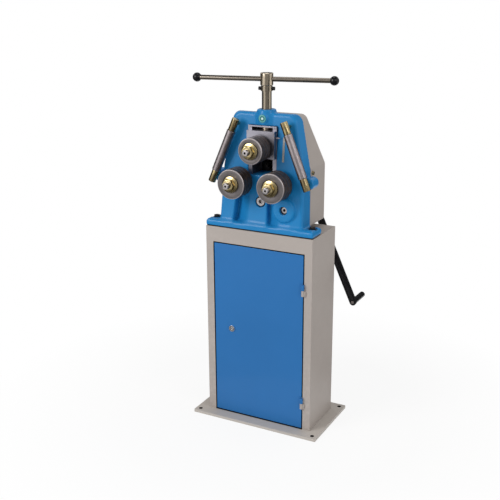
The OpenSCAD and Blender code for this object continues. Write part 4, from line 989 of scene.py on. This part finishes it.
class BENDER_OT_casting(bpy.types.Operator):
    """Main casting with its leaning face, recesses and fillets, formed as one smooth surface"""

    bl_idname = "bender.casting"
    bl_label = "Main casting"

    def execute(self, context):
        size = sizes()
        low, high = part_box("main_casting")
        step = size.casting_grid
        margin = 2 * step
        origin = np.array(low) - margin
        counts = np.ceil((np.array(high) + margin - origin) / step).astype(int) + 1
        axes = [origin[k] + step * np.arange(counts[k]) for k in range(3)]
        grid = np.meshgrid(*axes, indexing="ij", sparse=True)
        verts, faces = surface_of(self.solid(grid, size, low, high), origin, step)
        verts = np.clip(verts, np.array(low), np.array(high))
        mesh = bpy.data.meshes.new("casting_body")
        mesh.from_pydata(verts.tolist(), [], faces.tolist())
        mesh.validate()
        mesh.shade_smooth()
        paint = finish_for("blue_paint")
        piece = add_piece("casting_body", mesh, "frame", "blue_paint", paint, "main_casting")
        relax = piece.modifiers.new("relaxed", "SMOOTH")
        relax.factor = 0.4
        relax.iterations = 2
        piece.modifiers.new("even_shading", "WEIGHTED_NORMAL").keep_sharp = False
        return {"FINISHED"}

    def solid(self, grid, size, low, high):
        """The casting's field on the grid."""
        self.x, self.y, self.z = grid
        self.size = size
        self.base_z = low.z
        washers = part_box("casting_washers")
        self.flange_top = washers[0].z
        self.flange_high = self.flange_top + size.spot_depth
        self.wall_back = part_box("gear_cover")[0].y
        self.foot_y = self.wall_back - size.wall_depth
        self.face = self.flared_face(low.y)
        body = self.recessed(self.wall(high.z - size.boss_rise))
        body = smooth_min(body, self.flange(low, high), size.casting_fillet)
        body = self.spot_faced(body, *washers)
        body = self.front_forms(body, high.z)
        body = self.rear_forms(body)
        body = self.rabbet(np.maximum(body, self.base_z - self.z), low, high)
        return self.bored(body)

    def block(self, low, high, edge):
        return box_field(self.x, self.y, self.z, low, high, edge)

    def plan(self, low, high, edge):
        """Distance to a rounded outline seen from above."""
        return box_field(self.x, self.y, 0, (*low, -1), (*high, 1), edge)

    def rod(self, body, centre, radius, start, end, edge, fillet):
        """Adds a boss along Y at a centre in XZ."""
        boss = rod_field(self.x, self.z, self.y, centre, radius, start, end, edge)
        return smooth_min(body, boss, fillet)

    def face_at(self, z):
        """Where the leaning front face is at a height."""
        return self.foot_y + (z - self.flange_top) * math.tan(self.size.wall_lean)

    def flared_face(self, front_y):
        """The leaning face with its flare towards the flange's front."""
        start, end = self.base_z, self.base_z + self.size.flare_h
        foot = front_y + self.size.flare_in
        flare = foot + (self.z - start) * (self.face_at(end) - foot) / (end - start)
        lean = self.face_at(self.z)
        share = np.clip((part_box("gear_cover")[1].x - np.abs(self.x)) / self.size.flare_side, 0, 1)
        return lean + share * (smooth_min(lean, flare, self.size.casting_fillet) - lean)

    def wall(self, top):
        """The upright wall: drafted sides, rounded corners and a rounded front edge."""
        size = self.size
        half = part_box("gear_cover")[1].x
        shoulder = self.base_z + size.shoulder_h
        left = size.left_inset - half
        outline = [(left, self.base_z), (half, self.base_z), (half - WALL_TAPER, shoulder),
                   (size.wall_top_half, top), (-size.wall_top_half, top), (left + WALL_TAPER, shoulder)]
        deep = np.clip((self.wall_back - self.y) / (self.wall_back - self.face), 0, 1)
        rise = np.clip((self.z - self.flange_high) / (top - self.flange_high), 0, 1)
        drafted = self.x + np.sign(self.x) * size.wall_draft * deep * rise
        flat = outline_field(drafted, self.z, outline, size.wall_corner)
        front = (self.face - self.y) * math.cos(size.wall_lean)
        return np.maximum(rounded_meet(flat, front, size.wall_round), self.y - self.wall_back)

    def flange(self, low, high):
        """The foot flange, rounded on top."""
        plan = self.plan((low.x, low.y), (high.x, self.wall_back), self.size.flange_corner)
        return rounded_meet(plan, self.z - self.flange_high, self.size.flange_round)

    def rabbet(self, body, low, high):
        """Sets the joint under the flange back at its front and ends."""
        gap, inset = self.size.foot_gap, self.size.foot_in
        inner = self.plan((low.x + inset, low.y + inset), (high.x - inset, high.y), FINE_ROUND)
        return np.maximum(body, np.minimum(self.base_z + gap - self.z, inner))

    def recessed(self, body):
        """Cuts the recesses, deep at their left sides and running out to the right."""
        size = self.size
        for cut in RECESSES:
            across = self.x - cut.slant * (self.z - self.flange_top - cut.height / 2)
            slope = cut.depth / (cut.right - cut.left)
            back = (self.y - self.face - slope * (cut.right - across)) / math.hypot(1, slope)
            low = (cut.left, self.foot_y - size.wall_depth, self.base_z)
            high = (cut.right + size.casting_fillet, self.wall_back, self.flange_top + cut.height)
            hollow = box_field(across, self.y, self.z, low, high, RECESS_ROUND)
            body = smooth_max(body, -smooth_max(hollow, back, RECESS_BLEND), RECESS_BLEND)
        return body

    def spot_faced(self, body, low, high):
        """Sinks the seats of the flange's bolts."""
        size = self.size
        r = (high.y - low.y) / 2
        for x in (low.x + r, high.x - r):
            spot = rod_field(self.x, self.y, self.z, (x, low.y + r), size.spot_r, self.flange_top,
                             self.flange_high + size.wall_depth, FINE_ROUND)
            body = smooth_max(body, -spot, FINE_ROUND)
        return body

    def front_forms(self, body, top_z):
        """Adds the bosses and lugs of the front, and the label's seat."""
        size = self.size
        k = size.casting_fillet
        inside = self.wall_back - BOSS_ROOT
        crank = JOINT["crank_turn"]["pos_m"]
        body = self.rod(body, (crank[0], crank[2]), size.crank_boss_r, self.foot_y - CRANK_BOSS_OUT,
                        inside, CRANK_BOSS_ROUND, 0.7 * k)
        shaft = JOINT["right_roll_spin"]["pos_m"]
        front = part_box("lower_roll_bushes")[0].y
        guide = JOINT["right_guide_spin"]
        foot = Vector(guide["pos_m"]) - Vector(guide["axis"]) * (size.guide_length / 2 - size.guide_stud_in)
        for side in (-1, 1):
            body = self.rod(body, (side * shaft[0], shaft[2]), size.bearing_boss_r, front,
                            inside, BEARING_BOSS_ROUND, 0.6 * k)
            body = self.rod(body, (side * foot.x, foot.z), size.lug_r, self.face_at(foot.z),
                            self.wall_back, LUG_ROUND, 0.8 * k)
        spindle = (0, JOINT["spindle_turn"]["pos_m"][1])
        boss = rod_field(self.x, self.y, self.z, spindle, size.boss_r, top_z - SPINDLE_BOSS_H, top_z,
                         SPINDLE_BOSS_ROUND)
        body = smooth_min(body, boss, k)
        seat = label_centre()
        seat_r = LABEL_SEAT * size.label_d
        body = self.rod(body, (seat.x, seat.z), seat_r, seat.y, inside, FINE_ROUND, 0.6 * k)
        ahead = rod_field(self.x, self.z, self.y, (seat.x, seat.z), seat_r,
                          seat.y - size.wall_depth, seat.y, CRISP_ROUND)
        return smooth_max(body, -ahead, FINE_ROUND)

    def rear_forms(self, body):
        """Adds the block behind the rails, the rear bosses and the cover's lugs."""
        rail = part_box("slide_rails")
        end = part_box("right_roll_gear")[0].y - GEAR_GAP
        start = self.wall_back - REAR_ROOT
        block = self.block((-RAIL_BLOCK_HALF, start, rail[0].z - RAIL_BLOCK_UNDER),
                           (RAIL_BLOCK_HALF, rail[1].y, rail[1].z + RAIL_BLOCK_OVER), RAIL_BLOCK_ROUND)
        body = smooth_min(body, block, REAR_FILLET)
        for joint, side, radius in REAR_BOSSES:
            shaft = JOINT[joint]["pos_m"]
            body = self.rod(body, (side * shaft[0], shaft[2]), radius, start, end, REAR_ROUND, REAR_FILLET)
        low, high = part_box("cover_screws")
        margin = high.z - low.z
        for side in (-1, 1):
            x0, x1 = sorted((side * COVER_LUG_IN, side * COVER_LUG_OUT))
            lug = self.block((x0, start, low.z - margin / 2),
                             (x1, self.wall_back + COVER_LUG_DEEP, high.z + margin / 2), REAR_ROUND)
            body = np.minimum(body, lug)
        return body

    def bored(self, body):
        """Cuts the slide's window, the bores of the shafts and the sink of the idler's screw."""
        rail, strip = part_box("slide_rails"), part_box("window_strip")
        window = self.block((rail[0].x, self.foot_y - OVERRUN, rail[0].z),
                            (rail[1].x, rail[1].y + OVERRUN, strip[1].z), CRISP_ROUND)
        body = smooth_max(body, -window, WINDOW_ROUND)
        low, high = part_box("lower_roll_bushes")
        bearing = (high.z - low.z) / 2
        for joint, side, radius in (("right_roll_spin", 1, bearing), ("right_roll_spin", -1, bearing),
                                    ("crank_turn", 1, CRANK_BORE_R)):
            shaft = JOINT[joint]["pos_m"]
            bore = np.hypot(self.x - side * shaft[0], self.z - shaft[2]) - radius
            body = smooth_max(body, -(bore + 0 * self.y), BORE_ROUND)
        idler, head = JOINT["idler_spin"]["pos_m"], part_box("idler_screw")
        sink_r = (head[1].z - head[0].z) / 2 + SINK_GAP
        sink = rod_field(self.x, self.z, self.y, (idler[0], idler[2]), sink_r,
                         self.foot_y - OVERRUN, head[0].y + SINK_DEEP, CRISP_ROUND)
        body = smooth_max(body, -sink, SINK_ROUND)
        spindle = np.hypot(self.x, self.y - JOINT["spindle_turn"]["pos_m"][1]) - SPINDLE_BORE_R
        above = strip[1].z - SPINDLE_BORE_LAP - self.z
        return smooth_max(body, -np.maximum(spindle, above), BORE_ROUND)


class BENDER_OT_cabinet(bpy.types.Operator):
    """Base plate, cabinet and the plate under its top"""

    bl_idname = "bender.cabinet"
    bl_label = "Base and cabinet"

    def execute(self, context):
        size = sizes()
        softened("base_plate", size.plate_edge, 3, finish_for("plate_paint"))
        softened("cabinet_shell", size.sheet_edge, 3, fold=size.fold_edge, folded=self.folded)
        softened("hinge_frame_leaves", size.machined_edge)
        dress_node("head_plate")
        dress_node("hinge_pins")
        return {"FINISHED"}

    def folded(self, point, low, high):
        """True at the cabinet's upright corners and round its top."""
        at_side = min(point.x - low.x, high.x - point.x) < NEAR
        at_face = min(point.y - low.y, high.y - point.y) < NEAR
        return at_side and at_face or (high.z - point.z < NEAR and (at_side or at_face))


class BENDER_OT_door(bpy.types.Operator):
    """Door, its hinge leaves and its lock"""

    bl_idname = "bender.door"
    bl_label = "Door and lock"

    def execute(self, context):
        size = sizes()
        softened("door_panel", size.fold_edge, 4)
        softened("hinge_door_leaves", size.machined_edge)
        softened("lock_body", size.machined_edge, 3)
        softened("lock_cylinder", size.machined_edge * 0.5)
        softened("lock_cam", size.machined_edge)
        return {"FINISHED"}


class BENDER_OT_cover(bpy.types.Operator):
    """Gear cover and its screws"""

    bl_idname = "bender.cover"
    bl_label = "Gear cover"

    def execute(self, context):
        size = sizes()
        softened("gear_cover", size.sheet_edge, 3, fold=size.fold_edge, folded=self.folded)
        softened("cover_screws", size.machined_edge * 2, 3)
        return {"FINISHED"}

    def folded(self, point, low, high):
        """True round the cover's back."""
        return high.y - point.y < NEAR


# Lengths of the scale's marks as shares of its width
TICK_LONG = 0.8
TICK_SHORT = 0.5


class BENDER_OT_slide(bpy.types.Operator):
    """Press slide, its rails, scale and pointer"""

    bl_idname = "bender.slide"
    bl_label = "Press slide"

    def execute(self, context):
        size = sizes()
        for node in ("slide_block", "slide_rails", "window_strip", "slide_back_plate", "slide_pointer"):
            softened(node, size.machined_edge)
        softened("scale_strip", size.tick_proud)
        for node in ("upper_roll_bush", "spindle_pins", "thrust_pad", "slide_back_screws", "spindle_nut"):
            dress_node(node)
        self.ticks(size)
        return {"FINISHED"}

    def ticks(self, size):
        """Marks on the scale, every second one longer."""
        low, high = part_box("scale_strip")
        count = int((high.z - low.z) / size.tick_step)
        shape = bmesh.new()
        for i in range(1, count):
            reach = (high.x - low.x) * (TICK_LONG if i % 2 == 0 else TICK_SHORT)
            up = i * size.tick_step
            made = bmesh.ops.create_cube(shape, size=1)
            scale = Matrix.Diagonal((reach, 2 * size.tick_proud, size.tick_w, 1))
            lean = Matrix.Rotation(-size.wall_lean, 4, "X")
            place = Matrix.Translation((low.x + reach / 2 + size.tick_w,
                                        low.y + up * math.tan(size.wall_lean), low.z + up))
            bmesh.ops.transform(shape, matrix=place @ lean @ scale, verts=made["verts"])
        mesh = mesh_of(shape, "scale_ticks")
        add_piece("scale_ticks", mesh, "frame", "black_fasteners", finish_for("black_fasteners"))


class BENDER_OT_spindle(bpy.types.Operator):
    """Spindle, hub, stop collar, cross bar and ball knobs"""

    bl_idname = "bender.spindle"
    bl_label = "Spindle and handle"

    def execute(self, context):
        size = sizes()
        softened("spindle", size.machined_edge)
        softened("handle_hub", size.machined_edge * 2, 3, finish_for("hub_zinc"))
        softened("stop_collar", size.machined_edge * 2, 3)
        softened("stop_collar_screws", size.machined_edge * 2, 3)
        softened("cross_bar", size.machined_edge, material=finish_for("bar_zinc"))
        softened("ball_knobs", size.machined_edge)
        return {"FINISHED"}


# The rolls and washers: shares of their radius and thickness, and the roundings of turned edges
ROLL_BORE = 0.36
DOME_RIM = 0.45
DOME_SIDE = 0.80
DOME_FLAT = 0.74
DOME_ROUND = 0.3
GROOVE_ROUND = 0.3 * MM
GUIDE_ROUND = 1.4 * MM


class BENDER_OT_rolls(bpy.types.Operator):
    """Three rolls with their shafts, washers and nuts"""

    bl_idname = "bender.rolls"
    bl_label = "Rolls"

    def execute(self, context):
        size = sizes()
        for roll in ("upper", "right", "left"):
            self.rings(size, roll)
            centre = y_start(f"{roll}_roll_rings")[0]
            softened(f"{roll}_roll_shaft", size.machined_edge, 3,
                     shaft_end_and_shade(f"{roll}_shaft_steel", centre, size.shaft_hole_r, size.bearing_boss_r))
            self.washer(size, roll)
            softened(f"{roll}_roll_nut", size.machined_edge * 1.4, 3)
        dress_node("upper_roll_retainer")
        dress_node("lower_roll_bushes")
        return {"FINISHED"}

    def rings(self, size, roll):
        """The rings of a roll, with shallow grooves between them and a chamfer at each end."""
        node = f"{roll}_roll_rings"
        centre, r, width = y_start(node)
        c, d, half = size.ring_chamfer, size.ring_groove, size.ring_groove / 2
        bore = ROLL_BORE * r
        seat = y_start(f"{roll}_roll_washer")[1] - d / 2
        wide = size.seat_groove
        points = [(bore, 0), (seat, 0), (seat, wide), (seat + wide, wide), (seat + wide, 0)]
        points += [(r - c, 0), (r, c)]
        for middle in (size.front_groove, size.rear_groove):
            near, far = middle - half, middle + half
            points += [(r, near), (r - d, near), (r - d, far), (r, far)]
        points += [(r, width - c), (r - c, width), (bore, width)]
        turned(f"{node}_turned", node, rounded_profile(points, GROOVE_ROUND, 2), centre, Y_AXIS,
               roll_finish_and_light(f"{roll}_roll_steel", centre, r))

    def washer(self, size, roll):
        """Washer with a domed front and a rounded rim."""
        node = f"{roll}_roll_washer"
        low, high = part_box(node)
        bore = (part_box(f"{roll}_roll_nut")[1].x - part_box(f"{roll}_roll_nut")[0].x) / 4
        r = (high.z - low.z) / 2
        t = high.y - low.y
        profile = rounded_profile(
            [(bore, 0), (r, 0), (r, DOME_RIM * t), (DOME_SIDE * r, DOME_SIDE * t),
             (DOME_FLAT * r, t), (bore, t)],
            (0, 0, DOME_ROUND * t, t, t, 0))
        base = Vector(((low.x + high.x) / 2, high.y, (low.z + high.z) / 2))
        turned(f"{node}_domed", node, profile, base, -Y_AXIS)


class BENDER_OT_guides(bpy.types.Operator):
    """Slanted side guides"""

    bl_idname = "bender.guides"
    bl_label = "Side guides"

    def execute(self, context):
        size = sizes()
        for side in ("right", "left"):
            self.guide(size, side)
        softened("guide_sleeve_right", size.machined_edge * 2, 3)
        softened("guide_sleeve_left", size.machined_edge * 2, 3)
        dress_node("guide_axles")
        return {"FINISHED"}

    def guide(self, size, side):
        """Two drawn end blocks and their studs."""
        joint = JOINT[f"{side}_guide_spin"]
        axis = Vector(joint["axis"])
        middle = Vector(joint["pos_m"])
        half = size.guide_length / 2
        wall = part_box("gear_cover")[0].y - BOSS_ROOT
        block = rod_profile(size.guide_end_r, 0, size.guide_end, GUIDE_ROUND, GUIDE_ROUND)
        for name, way in (("top", 1), ("foot", -1)):
            out = axis * way
            turned(f"guide_{side}_{name}_block", "guide_end_blocks", block,
                   middle + out * (half - size.guide_end), out, finish_for("drawn_zinc"))
            start = middle + out * (half - size.guide_stud_in)
            stud = rod_profile(size.guide_stud_r, 0, wall - start.y)
            turned(f"guide_{side}_{name}_stud", "guide_end_blocks", stud, start, Y_AXIS, replace=False)


class BENDER_OT_gears(bpy.types.Operator):
    """Gear train in the cover"""

    bl_idname = "bender.gears"
    bl_label = "Gears"

    def execute(self, context):
        for node in ("right_roll_gear", "left_roll_gear", "idler_gear", "idler_axle"):
            dress_node(node)
        # The crank's bushes are black instead of bronze, as painted shade round the crank shaft's end
        dress_node("crank_bushes", finish_for("black_fasteners"))
        softened("idler_screw", sizes().machined_edge * 2, 3)
        return {"FINISHED"}


class BENDER_OT_crank(bpy.types.Operator):
    """Crank with its shaft, pin and grip"""

    bl_idname = "bender.crank"
    bl_label = "Crank"

    def execute(self, context):
        size = sizes()
        softened("crank_arm", size.plate_edge, 3)
        softened("crank_pin", size.machined_edge)
        softened("crank_grip", size.plate_edge, 3)
        centre = JOINT["crank_turn"]["pos_m"]
        dress_node("crank_shaft", shaft_end_and_shade("crank_shaft_steel", centre,
                                               size.crank_hole_r, size.crank_rim_r))
        return {"FINISHED"}


class BENDER_OT_fasteners(bpy.types.Operator):
    """Bolts and washers of the casting, and the round label"""

    bl_idname = "bender.fasteners"
    bl_label = "Fasteners and label"

    def execute(self, context):
        size = sizes()
        softened("casting_bolts", size.machined_edge * 2, 3)
        softened("casting_washers", size.machined_edge)
        centre = label_centre()
        edge = size.label_t / 2
        disc = rod_profile(size.label_d / 2, -size.label_t, size.label_t, far=edge)
        turned("round_label", "main_casting", disc, centre, -Y_AXIS,
               label_face("label_face", centre, size.label_d / 2), replace=False)
        return {"FINISHED"}


def background_ray(tree):
    """1 for the rays that show the background: straight ones, reflections and through glass."""
    path = tree.nodes.new("ShaderNodeLightPath")
    total = path.outputs["Is Camera Ray"]
    for name in ("Is Glossy Ray", "Is Transmission Ray"):
        either = tree.nodes.new("ShaderNodeMath")
        either.operation = "MAXIMUM"
        tree.links.new(total, either.inputs[0])
        tree.links.new(path.outputs[name], either.inputs[1])
        total = either.outputs[0]
    return total


# Pieces of a dark card, and its height over what it lies on
CARD_STEPS = 16
CARD_LIFT = 1 * MM


class BENDER_OT_stage(bpy.types.Operator):
    """Camera, lights, floor and background"""

    bl_idname = "bender.stage"
    bl_label = "Stage"

    def execute(self, context):
        look = stage()
        self.camera(look)
        self.floor(look)
        self.cards(look)
        self.lights(look)
        self.world(look)
        context.scene.view_settings.view_transform = "Standard"
        return {"FINISHED"}

    def camera(self, look):
        data = bpy.data.cameras.new("photo_camera")
        data.sensor_width = look.sensor_mm
        data.lens = look.focal_px / look.image_px * look.sensor_mm
        ahead = Vector((-math.sin(look.camera_yaw) * math.cos(look.camera_pitch),
                        math.cos(look.camera_yaw) * math.cos(look.camera_pitch),
                        -math.sin(look.camera_pitch)))
        right = Vector((math.cos(look.camera_yaw), math.sin(look.camera_yaw), 0))
        up = right.cross(ahead)
        c, s = math.cos(look.camera_roll), math.sin(look.camera_roll)
        right, up = c * right + s * up, c * up - s * right
        turn = Matrix((right, up, -ahead)).transposed().to_4x4()
        camera = placed("photo_camera", data)
        camera.matrix_world = Matrix.Translation(look.camera_place) @ turn
        bpy.context.scene.camera = camera

    def floor(self, look):
        """A pale floor that turns plain white away from the machine's shadow."""
        shape = bmesh.new()
        bmesh.ops.create_grid(shape, x_segments=1, y_segments=1, size=look.floor_size)
        floor = placed("floor", mesh_of(shape, "floor"))
        made = Shader("pale_floor", 0, 0.9)
        made.colour(made.clouded(made.noise(0.8, 2), look.floor_colour, 0.995, 1, 0, 1))
        made.set("Specular IOR Level", 0.1)
        glow = made.node("ShaderNodeEmission")
        reach = look.shadow_reach
        away = made.ramp(made.vector("LENGTH", made.place)["Value"], reach, 2 * reach, look.floor_white, 1)
        away = made.times(away, self.outside_foot(made))
        mix = made.node("ShaderNodeMixShader")
        made.join(made.times(background_ray(made.tree), away), mix.inputs["Fac"])
        made.join(made.surface.outputs[0], mix.inputs[1])
        made.join(glow.outputs[0], mix.inputs[2])
        made.join(mix.outputs[0], made.tree.nodes["Material Output"].inputs["Surface"])
        floor.data.materials.append(made.material)

    def outside_foot(self, made):
        """0 under the base plate, so that its holes stay dark, and 1 round it."""
        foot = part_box("base_plate")[1]
        place = made.split(made.place)
        x = made.maths("DIVIDE", made.maths("ABSOLUTE", place["X"], 0), foot.x)
        y = made.maths("DIVIDE", made.maths("ABSOLUTE", place["Y"], 0), foot.y)
        return made.ramp(made.maths("MAXIMUM", x, y), 0.97, 0.99)

    def cards(self, look):
        """Dark cards, a mat and a ceiling round the machine, which only reflections show."""
        far, near, high, roof = look.card_distance, look.mat_inner, look.card_height, look.roof_height
        upright = ((far, 0), (far, high))
        self.card(look, "near_card", (-34, 26), upright, 0.30)
        self.card(look, "right_card", (26, 56), upright, 0.03)
        self.card(look, "left_card", (-150, -80), upright, 0.06)
        self.card(look, "rear_card", (100, 210), upright, 0.06)
        self.card(look, "front_mat", (-125, 125), ((far, 0), (near, 0)), 0.08)
        self.card(look, "ceiling", (-180, 180), ((look.roof_reach, roof), (near, roof)), 0.10)

    def card(self, look, name, angles, edges, shade):
        """One card along an arc in degrees, between two edges given as distance and height."""
        facing = math.atan2(look.camera_place[1], look.camera_place[0])
        shape = bmesh.new()
        rows = []
        for k in range(CARD_STEPS + 1):
            turn = facing + math.radians(angles[0] + (angles[1] - angles[0]) * k / CARD_STEPS)
            way = Vector((math.cos(turn), math.sin(turn), 0))
            rows.append([shape.verts.new(way * away + Z_AXIS * (up + CARD_LIFT)) for away, up in edges])
        for (a, b), (c, d) in zip(rows, rows[1:]):
            shape.faces.new((a, c, d, b))
        card = placed(name, mesh_of(shape, name))
        for kind in ("camera", "diffuse", "shadow", "transmission", "volume_scatter"):
            setattr(card, f"visible_{kind}", False)
        made = Shader(name, 0, 0.9)
        made.colour(made.blend(made.noise(2, 2), (0, 0, 0), (0.02, 0.02, 0.02)))
        made.set("Emission Color", (1, 1, 1, 1))
        made.set("Emission Strength", shade)
        card.data.materials.append(made.material)

    def lights(self, look):
        for name, place, width, power in (
                ("key_light", look.key_place, look.side_width, look.key_power),
                ("fill_light", look.fill_place, look.side_width, look.fill_power),
                ("top_light", look.top_place, look.top_width, look.top_power)):
            data = bpy.data.lights.new(name, "AREA")
            data.shape = "DISK"
            data.size = width
            data.energy = power
            lamp = placed(name, data)
            aim = Vector(look.light_target) - Vector(place)
            lamp.matrix_world = Matrix.Translation(place) @ aim.to_track_quat("-Z", "Y").to_matrix().to_4x4()

    def world(self, look):
        """White behind the machine, and softer light from all round."""
        world = bpy.data.worlds.new("studio")
        bpy.context.scene.world = world
        world.use_nodes = True
        tree = world.node_tree
        light = tree.nodes["Background"]
        seen = tree.nodes.new("ShaderNodeBackground")
        for made, strength in ((light, look.world_level), (seen, 1)):
            made.inputs["Color"].default_value = (1, 1, 1, 1)
            made.inputs["Strength"].default_value = strength
        mix = tree.nodes.new("ShaderNodeMixShader")
        tree.links.new(background_ray(tree), mix.inputs["Fac"])
        tree.links.new(light.outputs[0], mix.inputs[1])
        tree.links.new(seen.outputs[0], mix.inputs[2])
        tree.links.new(mix.outputs[0], tree.nodes["World Output"].inputs["Surface"])


STEPS = (
    BENDER_OT_casting, BENDER_OT_cabinet, BENDER_OT_door, BENDER_OT_cover, BENDER_OT_slide,
    BENDER_OT_spindle, BENDER_OT_rolls, BENDER_OT_guides, BENDER_OT_gears, BENDER_OT_crank,
    BENDER_OT_fasteners, BENDER_OT_stage,
)


class BENDER_PT_panel(bpy.types.Panel):
    """Sidebar panel of the bender's pieces"""

    bl_idname = "BENDER_PT_panel"
    bl_label = "Roll bender"
    bl_space_type = "VIEW_3D"
    bl_region_type = "UI"
    bl_category = "Bender"

    def draw(self, context):
        for step in STEPS:
            self.layout.operator(step.bl_idname)
        for group in (sizes(), finishes(), stage()):
            box = self.layout.box()
            for key in group.bl_rna.properties.keys():
                if key not in ("rna_type", "name"):
                    box.prop(group, key)


CLASSES = (BenderSizes, BenderFinishes, BenderStage, *STEPS, BENDER_PT_panel)


def register():
    for cls in CLASSES:
        bpy.utils.register_class(cls)
    bpy.types.Scene.bender_sizes = PointerProperty(type=BenderSizes)
    bpy.types.Scene.bender_finishes = PointerProperty(type=BenderFinishes)
    bpy.types.Scene.bender_stage = PointerProperty(type=BenderStage)


def unregister():
    del bpy.types.Scene.bender_stage
    del bpy.types.Scene.bender_finishes
    del bpy.types.Scene.bender_sizes
    for cls in reversed(CLASSES):
        bpy.utils.unregister_class(cls)


def main():
    register()
    bpy.ops.bender.casting()
    bpy.ops.bender.cabinet()
    bpy.ops.bender.door()
    bpy.ops.bender.cover()
    bpy.ops.bender.slide()
    bpy.ops.bender.spindle()
    bpy.ops.bender.rolls()
    bpy.ops.bender.guides()
    bpy.ops.bender.gears()
    bpy.ops.bender.crank()
    bpy.ops.bender.fasteners()
    bpy.ops.bender.stage()


if __name__ == "__main__":
    main()
